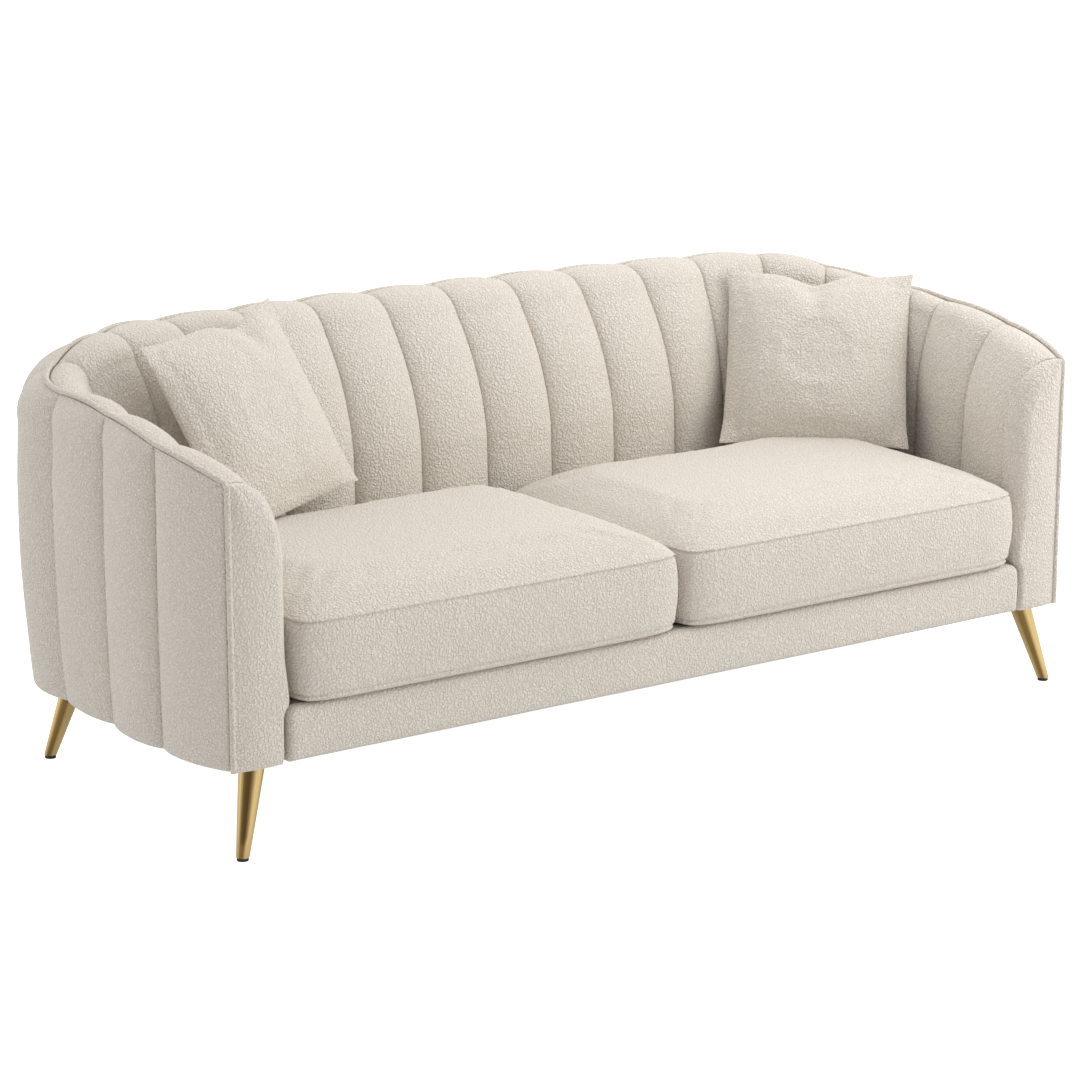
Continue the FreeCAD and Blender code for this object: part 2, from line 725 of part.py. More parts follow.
# The seat's springs, their clips and the deck pad on them.
def spring(x):
    """A zigzag wire from the front rail to the back rail, bent on quarter arcs."""
    wide = size("spring_wide") / 2 - size("spring_wire") / 2
    pitch = size("spring_pitch")
    radius = pitch / 2
    clip_middle = front_line + size("clip_set") + size("clip_long") / 2
    start = clip_middle + rail_front
    end = clip_middle + worked(BACK_RAIL)
    runs = int((end - start) // pitch)
    up = rail_top + size("clip_high") + size("spring_wire") / 2
    y = (start + end) / 2 - runs * pitch / 2
    side = 1
    edges = []
    last = V(x - side * (wide - radius), y, up)
    for run in range(runs + 1):
        stop = V(x + side * (wide - radius), y, up)
        edges.append(Part.makeLine(last, stop))
        if run == runs:
            break
        out = V(x + side * wide, y + radius, up)
        over = V(x + side * (wide - radius), y + pitch, up)
        bend = math.sqrt(0.5) * radius
        via_low = V(x + side * (wide - radius + bend), y + radius - bend, up)
        via_high = V(x + side * (wide - radius + bend), y + radius + bend, up)
        edges.append(Part.Arc(stop, via_low, out).toShape())
        edges.append(Part.Arc(out, via_high, over).toShape())
        last = over
        y += pitch
        side = -side
    path = Part.Wire(edges)
    first = path.OrderedVertexes[0].Point
    start_ring = Part.Wire([Part.makeCircle(size("spring_wire") / 2, first, V(1, 0, 0))])
    return path.makePipeShell([start_ring], True, False)


SPRINGS = 8
springs = []
clips = []
for number in range(SPRINGS):
    x = (number - (SPRINGS - 1) / 2) * size("spring_step")
    springs.append(spring(x))
    for rail in (rail_front, worked(BACK_RAIL)):
        where = V(x - size("clip_wide") / 2, front_line + rail + size("clip_set"), rail_top)
        clips.append(Part.makeBox(size("clip_wide"), size("clip_long"), size("clip_high"), where))
feature("seat_springs", Part.makeCompound(springs))
feature("spring_clips", Part.makeCompound(clips))
box(
    "deck_pad", "2 * %s" % DECK_HALF,
    "%s - %s - 2 * Dims.deck_gap" % (CUSHION_BACK, RAIL_FRONT), "Dims.deck_thick",
    (
        "-" + DECK_HALF,
        "%s + %s + Dims.deck_gap" % (FRONT, RAIL_FRONT),
        "%s - Dims.deck_thick" % DECK_TOP,
    ),
)


# The front rail's padding, a body with its upper corners and front edges rounded.
def rectangle(body, name, plane_role, left, right, bottom, top):
    """A constrained rectangle on one of the body's planes; sizes are formulas."""
    sketch = body.newObject("Sketcher::SketchObject", name)
    planes = [item for item in body.Origin.OriginFeatures if item.Role == plane_role]
    sketch.AttachmentSupport = (planes[0], [""])
    sketch.MapMode = "FlatFace"
    corners = [V(-20, -20, 0), V(20, -20, 0), V(20, 20, 0), V(-20, 20, 0)]
    for index in range(4):
        sketch.addGeometry(Part.LineSegment(corners[index], corners[(index + 1) % 4]), False)
    for index in range(4):
        sketch.addConstraint(Sketcher.Constraint("Coincident", index, 2, (index + 1) % 4, 1))
    for index in (0, 2):
        sketch.addConstraint(Sketcher.Constraint("Horizontal", index))
    for index in (1, 3):
        sketch.addConstraint(Sketcher.Constraint("Vertical", index))
    for kind, line, end, label, formula in (
        ("DistanceX", 0, 1, "left", left), ("DistanceX", 0, 2, "right", right),
        ("DistanceY", 0, 1, "bottom", bottom), ("DistanceY", 2, 1, "top", top),
    ):
        value = corners[0].x if label in ("left", "bottom") else corners[2].x
        number = sketch.addConstraint(Sketcher.Constraint(kind, -1, 1, line, end, value))
        sketch.renameConstraint(number, label)
        sketch.setExpression("Constraints." + label, formula)
    return sketch


body = doc.addObject("PartDesign::Body", "front_rail_pad")
sketch = rectangle(
    body, "rail_face", "XZ_Plane", "-" + PAD_HALF, PAD_HALF, "Dims.underside", DECK_TOP,
)
pad = body.newObject("PartDesign::Pad", "rail_depth")
pad.Profile = sketch
pad.setExpression("Length", "Dims.rail_pad_thick")
body.setExpression("Placement.Base.y", "%s + %s" % (FRONT, RAIL_FRONT))
doc.recompute()


def edges_where(shape, test):
    """Names of the edges whose middle passes a test."""
    names = []
    for number, edge in enumerate(shape.Edges, start=1):
        if test(edge.CenterOfMass):
            names.append("Edge%d" % number)
    return names


pad_half = worked(PAD_HALF)


def on_upper_corner(point):
    return abs(point.z - deck_top) < 0.01 and abs(abs(point.x) - pad_half) < 0.01


def on_front(point):
    return abs(point.y + size("rail_pad_thick")) < 0.01 and point.z > underside + 1


round_top = body.newObject("PartDesign::Fillet", "rail_corners")
round_top.Base = (pad, edges_where(pad.Shape, on_upper_corner))
round_top.setExpression("Radius", "Dims.rail_pad_round")
doc.recompute()
round_front = body.newObject("PartDesign::Fillet", "rail_edges")
round_front.Base = (round_top, edges_where(round_top.Shape, on_front))
round_front.setExpression("Radius", "Dims.rail_pad_edge")
doc.recompute()
body.Tip = round_front
keep(body, "front_rail_pad")


# The two seat cushions
# Boxed, with a crown, and drawn in at their upright corners.

def cushion_section(x, inset, rise):
    """Outline of a cushion across the seat, at a distance from the centre."""
    front = front_line - size("arm_front_in") + inset
    back = front_line + worked(CUSHION_BACK) - inset
    low = deck_top + size("soft_gap")
    seam = cushion_seam
    half_way = 0.5 * (low + seam)
    tuck = 0.7 * size("cushion_draw")
    roll = 0.15 * (back - front)

    def at(y, up):
        return V(x, y, up)

    edges = [
        Part.makeLine(at(back - tuck, low), at(front + tuck, low)),
        Part.Arc(at(front + tuck, low), at(front, half_way), at(front + 0.3 * tuck, seam)).toShape(),
        Part.Arc(
            at(front + 0.3 * tuck, seam), at(front + 0.34 * roll, seam + 0.55 * rise),
            at(front + roll, seam + 0.91 * rise),
        ).toShape(),
        Part.Arc(
            at(front + roll, seam + 0.91 * rise), at(0.5 * (front + back), seam + rise),
            at(back - roll, seam + 0.91 * rise),
        ).toShape(),
        Part.Arc(
            at(back - roll, seam + 0.91 * rise), at(back - 0.34 * roll, seam + 0.55 * rise),
            at(back - 0.3 * tuck, seam),
        ).toShape(),
        Part.Arc(at(back - 0.3 * tuck, seam), at(back, half_way), at(back - tuck, low)).toShape(),
    ]
    return Part.Wire(edges)


def cushion(side):
    """A cushion from the middle of the seat out to an arm."""
    inner = size("cushion_gap")
    outer = worked(CUSHION_HALF)
    length = outer - inner
    draw = size("cushion_draw")
    crown = size("cushion_crown")
    # Share of the length, how far the corners are drawn in, share of the crown
    steps = (
        (0, 2.2 * draw, 0.2), (0.02, 0.9 * draw, 0.46), (0.06, 0.25 * draw, 0.72),
        (0.2, 0, 0.94), (0.5, 0, 1), (0.8, 0, 0.94), (0.94, 0.25 * draw, 0.72),
        (0.98, 0.9 * draw, 0.46), (1, 2.2 * draw, 0.2),
    )
    wires = [
        cushion_section(side * (inner + share * length), inset, rise * crown)
        for share, inset, rise in steps
    ]
    return Part.makeLoft(wires, True, True)


feature("seat_cushion_left", cushion(-1))
feature("seat_cushion_right", cushion(1))


# The throw pillows
# Knife-edged squares with drawn-in sides, leaning in the rear corners.

def pillow_section(share, depth, draw):
    """Outline of a pillow at a depth: four arcs between four corners."""
    half = share * size("pillow_side") / 2
    corners = [V(-half, -half, depth), V(half, -half, depth), V(half, half, depth), V(-half, half, depth)]
    edges = []
    for index in range(4):
        start = corners[index]
        end = corners[(index + 1) % 4]
        middle = (start + end) * 0.5
        centre = V(0, 0, depth)
        inward = (centre - middle).normalize()
        edges.append(Part.Arc(start, middle + inward * draw, end).toShape())
    return Part.Wire(edges)


def pillow():
    """A stuffed pillow, its face towards +Z and its top towards +Y."""
    half = size("pillow_thick") / 2
    draw = size("pillow_draw")
    levels = (
        (-1, 0.24, -0.3), (-0.9, 0.46, -0.2), (-0.62, 0.70, 0.3), (-0.28, 0.89, 0.8), (-0.02, 1, 1),
        (0.02, 1, 1), (0.28, 0.89, 0.8), (0.62, 0.70, 0.3), (0.9, 0.46, -0.2), (1, 0.24, -0.3),
    )
    wires = [pillow_section(share, depth * half, inward * draw) for depth, share, inward in levels]
    return Part.makeLoft(wires, True, True)


def pillow_place(middle, turn, lean, roll):
    """Stand the pillow up, roll it, lean it back and turn it in plan."""
    stand = FreeCAD.Rotation(V(1, 0, 0), 90 - lean)
    spin = FreeCAD.Rotation(V(0, 0, 1), roll)
    face = FreeCAD.Rotation(V(0, 0, 1), turn)
    return FreeCAD.Placement(middle, face.multiply(stand).multiply(spin))


# Each pillow's name, its side and its turn, lean and roll in degrees.
PILLOWS = (("left", -1, 19, 28, 6), ("right", 1, -40, 32, -1))
for name, side, turn, lean, roll in PILLOWS:
    x = side * (size("inner_half") - size(name + "_pillow_side"))
    y = front_line + size("inner_back") - size(name + "_pillow_back")
    up = cushion_seam + size("cushion_crown") + size(name + "_pillow_rise")
    item = feature("pillow_" + name, pillow())
    item.Placement = pillow_place(V(x, y, up), turn, lean, roll)


# The legs
# Each is a splayed taper between a plate under the frame and a glide.

def leg_feet():
    """Every leg's name, side and end, and the middle of its foot on the floor."""
    half = worked(FOOT_HALF)
    for end, name, y in ((-1, "front", worked(FRONT_FOOT)), (1, "rear", worked(REAR_FOOT))):
        for side, hand in ((-1, "left"), (1, "right")):
            yield name + "_" + hand, side, end, V(side * half, front_line + y, 0)


leg_top = underside - size("plate_thick")
glides = []
screws = []
for name, side, end, foot in leg_feet():
    glide = size("glide_thick")
    run = leg_top - glide
    lean = V(-side * size("leg_splay_x"), -end * size("leg_splay_y"), run)
    low_ring = Part.makeCircle(size("foot_dia") / 2, foot + V(0, 0, glide))
    top_ring = Part.makeCircle(size("leg_dia") / 2, foot + V(0, 0, glide) + lean)
    wires = [Part.Wire([low_ring]), Part.Wire([top_ring])]
    feature("leg_" + name, Part.makeLoft(wires, True, True))
    glides.append(Part.makeCylinder(size("glide_dia") / 2, glide, foot))
    # Plate and screws: the screws stand clear of the leg, in two rows
    plate_x = "%d * (%s - Dims.leg_splay_x)" % (side, FOOT_HALF)
    foot_y = FRONT_FOOT if end < 0 else REAR_FOOT
    plate_y = "%s + %s - %d * Dims.leg_splay_y" % (FRONT, foot_y, end)
    near = "- Dims.leg_dia / 2" if end < 0 else "+ Dims.leg_dia / 2 - Dims.plate_long"
    blank = doc.addObject("Part::Box", "plate_blank_" + name)
    blank.setExpression("Length", "Dims.plate_wide")
    blank.setExpression("Width", "Dims.plate_long")
    blank.setExpression("Height", "Dims.plate_thick")
    blank.setExpression("Placement.Base.x", plate_x + " - Dims.plate_wide / 2")
    blank.setExpression("Placement.Base.y", "%s %s" % (plate_y, near))
    blank.setExpression("Placement.Base.z", "Dims.underside - Dims.plate_thick")
    row = "%d * (Dims.leg_dia / 2 - Dims.plate_long + Dims.screw_edge" % end
    drills = []
    for across in (-1, 1):
        for along in (0, 1):
            pair = []
            for kind in ("hole", "screw"):
                pin = doc.addObject("Part::Cylinder", "%s_%s" % (kind, name))
                clear = "Dims.screw_clear" if kind == "hole" else "0"
                deep = "Dims.plate_thick" if kind == "hole" else "Dims.screw_long"
                pin.setExpression("Radius", "Dims.screw_dia / 2 + %s" % clear)
                pin.setExpression("Height", deep)
                pin.setExpression("Placement.Base.x", "%s + %d * Dims.screw_step_x / 2" % (plate_x, across))
                pin.setExpression(
                    "Placement.Base.y", "%s + %s + %d * Dims.screw_step_y)" % (plate_y, row, along)
                )
                pin.setExpression("Placement.Base.z", "Dims.underside - Dims.plate_thick")
                pair.append(pin)
            drills.append(pair[0])
            screws.append(pair[1])
    drill = doc.addObject("Part::MultiFuse", "drills_" + name)
    drill.Shapes = drills
    plate = doc.addObject("Part::Cut", "leg_plate_" + name)
    plate.Base = blank
    plate.Tool = drill
    keep(plate, "leg_plate_" + name)
feature("leg_glides", Part.makeCompound(glides))
gather = doc.addObject("Part::Compound", "leg_screws")
gather.Links = screws
keep(gather, "leg_screws")


# Every object is checked, and only then is anything written.
doc.recompute()
faults = []
for item in doc.Objects:
    if "Invalid" in item.State or "Error" in item.State:
        faults.append("%s: %s" % (item.Label, item.State))
for item in nodes:
    if item.Shape.isNull() or not item.Shape.isValid() or item.Shape.Volume <= 0:
        faults.append("%s: not a sound solid" % item.Label)
if faults:
    raise RuntimeError("; ".join(faults))
os.makedirs("parts", exist_ok=True)
for item in nodes:
    item.Shape.exportStep("parts/%s.step" % item.Label)
    print("%-28s %9.3f dm3" % (item.Label, item.Shape.Volume / 1e6))
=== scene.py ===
# A two-seat sofa: a channelled shell round a hardwood seat frame, two loose box
# cushions, two throw pillows and four splayed brass legs. Metres, +Z up.
import math

import bmesh
import bpy
from mathutils import Matrix, Vector, noise


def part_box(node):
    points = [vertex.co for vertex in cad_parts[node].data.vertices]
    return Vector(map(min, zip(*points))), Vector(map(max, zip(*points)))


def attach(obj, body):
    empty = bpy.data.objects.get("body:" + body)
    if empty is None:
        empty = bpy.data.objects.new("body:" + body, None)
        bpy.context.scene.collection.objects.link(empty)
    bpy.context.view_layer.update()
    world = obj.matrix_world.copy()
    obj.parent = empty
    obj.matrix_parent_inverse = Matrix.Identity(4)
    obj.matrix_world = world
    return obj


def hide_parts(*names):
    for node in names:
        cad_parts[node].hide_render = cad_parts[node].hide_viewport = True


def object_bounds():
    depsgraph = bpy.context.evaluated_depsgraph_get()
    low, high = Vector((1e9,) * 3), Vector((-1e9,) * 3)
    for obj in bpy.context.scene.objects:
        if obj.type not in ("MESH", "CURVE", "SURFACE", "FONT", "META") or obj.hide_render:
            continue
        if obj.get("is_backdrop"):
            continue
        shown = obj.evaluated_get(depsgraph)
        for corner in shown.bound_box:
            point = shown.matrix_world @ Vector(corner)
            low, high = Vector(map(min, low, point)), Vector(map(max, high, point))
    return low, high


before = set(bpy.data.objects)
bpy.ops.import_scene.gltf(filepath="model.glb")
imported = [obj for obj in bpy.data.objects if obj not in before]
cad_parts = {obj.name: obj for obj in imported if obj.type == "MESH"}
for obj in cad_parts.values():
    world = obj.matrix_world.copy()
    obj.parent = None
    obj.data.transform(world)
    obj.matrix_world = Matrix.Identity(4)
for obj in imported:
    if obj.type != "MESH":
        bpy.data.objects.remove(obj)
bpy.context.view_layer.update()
scene = bpy.context.scene


# Camera
# A long lens a little above eye level, looking down on the sofa from its left
# as the photograph does. Angles are in radians, lens and sensor in millimetres.
CAMERA_PLACE = (-3.833, -5.375, 2.004)
CAMERA_TURN = 0.620
CAMERA_DIP = 0.245
LENS, SENSOR = 111.16, 36.0
camera_data = bpy.data.cameras.new("camera")
camera_data.lens = LENS
camera_data.sensor_width = SENSOR
camera_data.sensor_fit = "HORIZONTAL"
camera = bpy.data.objects.new("camera", camera_data)
scene.collection.objects.link(camera)
camera.location = CAMERA_PLACE
look = Vector((
    math.sin(CAMERA_TURN) * math.cos(CAMERA_DIP),
    math.cos(CAMERA_TURN) * math.cos(CAMERA_DIP),
    -math.sin(CAMERA_DIP),
))
camera.rotation_mode = "QUATERNION"
camera.rotation_quaternion = look.to_track_quat("-Z", "Y")
scene.camera = camera


# Seat frame
# Hardwood rails, corner blocks, stretchers and posts, planed and left bare,
# glued and screwed together; the upholstery hides them all.
def new_material(name, colour, roughness, metallic=0.0):
    """A material with its main shader set to even values."""
    made = bpy.data.materials.new(name)
    made.use_nodes = True
    shader = made.node_tree.nodes["Principled BSDF"]
    shader.inputs["Base Color"].default_value = (*colour, 1)
    shader.inputs["Roughness"].default_value = roughness
    shader.inputs["Metallic"].default_value = metallic
    return made, shader


def add_node(made, kind, inputs=(), **settings):
    """A node with its settings, its inputs filled from values or sockets."""
    node = made.node_tree.nodes.new("ShaderNode" + kind)
    for key, value in settings.items():
        setattr(node, key, value)
    for key, value in dict(inputs).items():
        if isinstance(value, bpy.types.NodeSocket):
            made.node_tree.links.new(value, node.inputs[key])
        else:
            node.inputs[key].default_value = value
    return node


def shade(made, shader, height, dark, light, depth):
    """Colours a surface from its hollows to its tops and gives it that relief; on the boucle the darker
    hollows are painted shade, on the brass the dark bands are painted reflections.
    """
    colours = add_node(made, "Mix", {"Factor": height}, data_type="RGBA")
    colours.inputs["A"].default_value = (*dark, 1)
    colours.inputs["B"].default_value = (*light, 1)
    relief = add_node(made, "Bump", {"Height": height, "Distance": depth})
    links = made.node_tree.links
    links.new(colours.outputs["Result"], shader.inputs["Base Color"])
    links.new(relief.outputs["Normal"], shader.inputs["Normal"])


def streaked(name, dark, light, roughness, stretch, scale, depth, metallic=0.0):
    """Wood grain, rolled steel or brushing: noise drawn out along one axis."""
    made, shader = new_material(name, light, roughness, metallic)
    place = add_node(made, "TexCoord")
    drawn = add_node(made, "Mapping", {"Vector": place.outputs["Object"], "Scale": stretch})
    streaks = add_node(
        made, "TexNoise",
        {"Vector": drawn.outputs["Vector"], "Scale": scale, "Detail": 5.0, "Distortion": 0.4},
    )
    shade(made, shader, streaks.outputs["Fac"], dark, light, depth)
    return made


def finish_node(name, made):
    """A node kept from the frame gets its finish."""
    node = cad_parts[name]
    node.data.materials.clear()
    node.data.materials.append(made)
    node.data.shade_smooth()
    node.data.set_sharp_from_angle(angle=math.radians(35))


def hardwood(name, stretch):
    """Planed hardwood, its grain along the axis with a stretch of 1."""
    return streaked(name, (0.42, 0.27, 0.15), (0.66, 0.48, 0.30), 0.6, stretch, 9.0, 0.0004)


hardwood_long = hardwood("hardwood_along", (1, 14, 14))
hardwood_deep = hardwood("hardwood_across", (14, 1, 14))
hardwood_tall = hardwood("hardwood_upright", (14, 14, 1))
for name, made in (
    ("front_rail", hardwood_long), ("back_rail", hardwood_long),
    ("side_rail_left", hardwood_deep), ("side_rail_right", hardwood_deep),
    ("corner_blocks", hardwood_deep), ("stretchers", hardwood_deep),
    ("shell_posts", hardwood_tall), ("upper_risers", hardwood_tall),
):
    finish_node(name, made)


# Plywood formers
# Rings of pale plywood that carry the shell's plan, sawn and left bare; their
# edges show the plies.
plywood = streaked("plywood", (0.55, 0.38, 0.22), (0.80, 0.64, 0.44), 0.7, (3, 3, 160), 3.0, 0.0003)
for name in ("tack_former", "middle_former", "upper_former", "base_former"):
    finish_node(name, plywood)


# Springs
# Zigzag seat springs of drawn steel wire under the deck, held on the rails by
# zinc plated clips.
spring_steel = streaked(
    "spring_wire", (0.30, 0.30, 0.31), (0.52, 0.52, 0.54), 0.35, (40, 40, 40), 6.0, 0.0001, 1.0
)
clip_zinc = streaked(
    "clip_zinc", (0.45, 0.46, 0.48), (0.68, 0.69, 0.72), 0.4, (12, 12, 12), 8.0, 0.0001, 1.0
)
finish_node("seat_springs", spring_steel)
finish_node("spring_clips", clip_zinc)


# Shell channels
# Forty padded channels of looped wool cloth, drawn down between sewn seams on
# the inner face, over the rolled top to the welt, and down the outside.

# Loops to the metre, how far the yarn strays and how far it stands up; then the
# finer fuzz on the loops and its share of the relief and of the painted shade.
LOOP_SCALE = 210.0
LOOP_CURL = 0.005
LOOP_RELIEF = 0.0028
FUZZ_SCALE = 480.0
FUZZ_SHARE = 0.20


def looped_cloth(name, light, dark):
    """Boucle: small curly loops of yarn with a soft bloom; the hollows between the loops are painted darker
    as shade.
    """
    made, shader = new_material(name, light, 0.95)
    place = add_node(made, "TexCoord").outputs["Object"]
    wander = add_node(made, "TexNoise", {"Vector": place, "Scale": LOOP_SCALE, "Detail": 1.0})
    centred = add_node(
        made, "VectorMath", {0: wander.outputs["Color"], 1: (0.5, 0.5, 0.5)}, operation="SUBTRACT"
    )
    strayed = add_node(
        made, "VectorMath", {0: centred.outputs[0], 1: (LOOP_CURL, LOOP_CURL, LOOP_CURL), 2: place},
        operation="MULTIPLY_ADD",
    )
    loops = add_node(made, "TexVoronoi", {"Vector": strayed.outputs[0], "Scale": LOOP_SCALE}, feature="F1")
    tops = add_node(
        made, "MapRange", {"Value": loops.outputs["Distance"], "From Min": 0.80, "From Max": 0.10},
        interpolation_type="SMOOTHSTEP",
    )
    fuzz = add_node(made, "TexNoise", {"Vector": place, "Scale": FUZZ_SCALE, "Detail": 2.0})
    height = add_node(
        made, "Mix", {"Factor": FUZZ_SHARE, "A": tops.outputs["Result"], "B": fuzz.outputs["Fac"]},
        data_type="FLOAT",
    )
    # The same height colours the cloth: the hollows between loops take the darker colour as painted shade.
    shade(made, shader, height.outputs["Result"], dark, light, LOOP_RELIEF)
    shader.inputs["Sheen Weight"].default_value = 0.35
    shader.inputs["Sheen Roughness"].default_value = 0.5
    shader.inputs["Sheen Tint"].default_value = (1.0, 0.97, 0.93, 1)
    return made


# The loops' own colour, then the darker painted shade of their hollows.
boucle = looped_cloth("boucle", (0.90, 0.845, 0.765), (0.66, 0.595, 0.51))

# The plan of both faces, across from the middle and back from the arms' front.
ARM_FRONT = -0.470
INNER_HALF, INNER_BACK, INNER_CORNER = 0.925, 0.638, 0.120
OUTER_HALF, OUTER_BACK, OUTER_CORNER = 1.050, 0.955, 0.340
ARM_DRAW_IN, FRONT_WRAP = 0.047, 0.042
OUTER_DRAW_IN, FRONT_SEAM_BACK, FRONT_TAPER = 0.046, 0.005, 0.280

# Seams on each side of the middle, and how many of them are even on the back and
# on the arm; the rest share the corner.
SEAMS, BACK_SEAMS, ARM_SEAMS = 10, 3, 2
REAR_CORNER, ARM_BEGINS = 5.0, 7.0
BACK_PITCH, INNER_ARM_PITCH, OUTER_ARM_PITCH = 0.163, 0.165, 0.1875

# Levels from the hem up to the welt, and how far the welt and hem are set in.
UNDERSIDE, BULGE_LEVEL = 0.167, 0.450
CHANNEL_FOOT, ROLL_START, ROLL_LEAN = 0.255, 0.544, 0.010
WELT_BACK, WELT_ARM, WELT_FRONT = 0.815, 0.765, 0.693
WELT_SET = (0.067, 0.128, 0.032, 0.006)
WELT_RADIUS = 0.0055
HEM_BACK, HEM_ARM, HEM_TURN = 0.020, 0.014, 0.010

# How full the channels are, and how far their seams draw them in.
SCALLOP, CREST_RISE, FULLNESS = 0.0065, 0.010, 0.55
BACK_CROWN, ARM_CROWN, OUTER_CROWN = 0.018, 0.013, 0.012
INNER_DIP, OUTER_DIP = 0.007, 0.014


def corner_walk(length, half, back, radius):
    """Point at a length along the back, round the corner, then forwards."""
    straight = half - radius
    quarter = radius * math.pi / 2
    if length <= straight:
        return length, back
    if length <= straight + quarter:
        turn = (length - straight) / radius
        return straight + radius * math.sin(turn), back - radius * (1 - math.cos(turn))
    return half, back - radius - (length - straight - quarter)


def seam_length(seam, total, arm_pitch):
    """Length along a plan line to a seam: even on the back and on the arm."""
    back = BACK_SEAMS * BACK_PITCH
    arm_from = SEAMS - ARM_SEAMS
    arm_start = total - ARM_SEAMS * arm_pitch
    if seam <= BACK_SEAMS:
        return seam * BACK_PITCH
    if seam <= arm_from:
        return back + (seam - BACK_SEAMS) / (arm_from - BACK_SEAMS) * (arm_start - back)
    return arm_start + (seam - arm_from) * arm_pitch


def plan_length(half, back, corner, short):
    """Length of a plan line, from the middle of the back to its front seam."""
    return half - corner + corner * math.pi / 2 + back - corner - short


def inner_point(seam):
    """Plan of the inner face at a seam; the arm draws in towards its front."""
    total = plan_length(INNER_HALF, INNER_BACK, INNER_CORNER, FRONT_WRAP)
    length = seam_length(seam, total, INNER_ARM_PITCH)
    x, y = corner_walk(length, INNER_HALF, INNER_BACK, INNER_CORNER)
    arm = INNER_BACK - INNER_CORNER
    if y < arm:
        x -= ARM_DRAW_IN * ((arm - y) / (arm - FRONT_WRAP)) ** 2
    return x, y


def outer_point(seam):
    """Plan of the outer face at a seam; it tapers over the front of the arm."""
    total = plan_length(OUTER_HALF, OUTER_BACK, OUTER_CORNER, FRONT_SEAM_BACK)
    length = seam_length(seam, total, OUTER_ARM_PITCH)
    x, y = corner_walk(length, OUTER_HALF, OUTER_BACK, OUTER_CORNER)
    if y < FRONT_TAPER:
        x -= OUTER_DRAW_IN * ((FRONT_TAPER - y) / FRONT_TAPER) ** 2
    return x, y


def ease(low, high, share):
    """A smooth step from low to high."""
    share = min(max(share, 0.0), 1.0)
    return low + (high - low) * (1 - math.cos(math.pi * share)) / 2


class Station:
    """An upright plane through the shell, at a seam or between two.

    Its first axis runs outwards in plan from the inner face, its second
    upwards. Seams are counted from the middle of the back, negative on the left.
    """

    def __init__(self, seam):
        side = -1 if seam < 0 else 1
        seam = abs(seam)
        self.seam = seam
        inner = inner_point(seam)
        outer = outer_point(seam)
        self.start = Vector((side * inner[0], ARM_FRONT + inner[1], 0))
        across = Vector((side * outer[0], ARM_FRONT + outer[1], 0)) - self.start
        self.total = across.length
        self.out = across.normalized()
        turned = (seam - REAR_CORNER) / (ARM_BEGINS - REAR_CORNER)
        forward = max(0.0, (seam - ARM_BEGINS) / (SEAMS - ARM_BEGINS))
        set_back, set_corner, set_arm, set_front = WELT_SET
        if seam <= REAR_CORNER:
            self.set_in = set_back + (set_corner - set_back) * (seam / REAR_CORNER) ** 2.5
        elif seam <= ARM_BEGINS:
            self.set_in = ease(set_corner, set_arm, turned)
        else:
            self.set_in = set_arm + forward * (set_front - set_arm)
        self.reach = self.total - self.set_in
        self.top = ease(WELT_BACK, WELT_ARM, turned) - (WELT_ARM - WELT_FRONT) * forward ** 2
        self.hem = ease(HEM_BACK, HEM_ARM, turned) - HEM_ARM * forward
        self.over = ease(CREST_RISE, 0, turned)
        self.crown = ease(BACK_CROWN, ARM_CROWN, (seam - 6) / 2)
        self.arch = SCALLOP * (1 - 0.5 * ease(0, 1, (seam - 5) / 2))

    def at(self, across, up):
        """A point of the plane, from its two coordinates."""
        return self.start + self.out * across + Vector((0, 0, up))

    def scallop(self, share):
        """How far the welt rises at a share of the way between two seams."""
        return self.arch * 4 * share * (1 - share)


def line(start, end, count):
    """Points on a straight run, leaving out the first."""
    return [
        (start[0] + (end[0] - start[0]) * k / count, start[1] + (end[1] - start[1]) * k / count)
        for k in range(1, count + 1)
    ]


def arc(start, via, end, count):
    """Points on the circle through three, leaving out the first."""
    ax, ay = start
    bx, by = via
    cx, cy = end
    double = 2 * (ax * (by - cy) + bx * (cy - ay) + cx * (ay - by))
    if abs(double) < 1e-9:
        return line(start, end, count)
    a2, b2, c2 = ax * ax + ay * ay, bx * bx + by * by, cx * cx + cy * cy
    mx = (a2 * (by - cy) + b2 * (cy - ay) + c2 * (ay - by)) / double
    my = (a2 * (cx - bx) + b2 * (ax - cx) + c2 * (bx - ax)) / double
    radius = math.hypot(ax - mx, ay - my)
    first = math.atan2(ay - my, ax - mx)
    middle = (math.atan2(by - my, bx - mx) - first) % math.tau
    last = (math.atan2(cy - my, cx - mx) - first) % math.tau
    sweep = last if middle < last else last - math.tau
    turns = [first + sweep * k / count for k in range(1, count + 1)]
    return [(mx + radius * math.cos(turn), my + radius * math.sin(turn)) for turn in turns]


def welt_lips(plane, rise):
    """The edges that the piping lies between, inner then outer, and their root."""
    room = WELT_RADIUS + 0.0004
    inner = (plane.reach - room, plane.top - 0.15 * room + rise)
    outer = (plane.reach + 0.85 * room, plane.top - 0.5 * room + rise)
    root = (plane.reach - 0.0055, plane.top - 0.014 + rise)
    return inner, outer, root


def inner_path(plane, crown, rise):
    """The face of an inner channel, from its foot over the roll to the welt."""
    reach, top, low = plane.reach, plane.top, ROLL_START
    climb = top - low
    lip, _, root = welt_lips(plane, rise)
    foot = (-crown, CHANNEL_FOOT)
    start = (ROLL_LEAN - crown, low)
    via_low = (0.20 * reach - 0.93 * crown, low + 0.48 * climb + 0.3 * crown)
    middle = (0.46 * reach - 0.66 * crown, low + 0.85 * climb + 0.55 * crown)
    via_high = (0.76 * reach - 0.15 * crown, top + plane.over + 0.55 * crown)
    path = [foot] + line(foot, start, 42)
    path += arc(start, via_low, middle, 34) + arc(middle, via_high, lip, 30)
    return path + line(lip, root, 3)


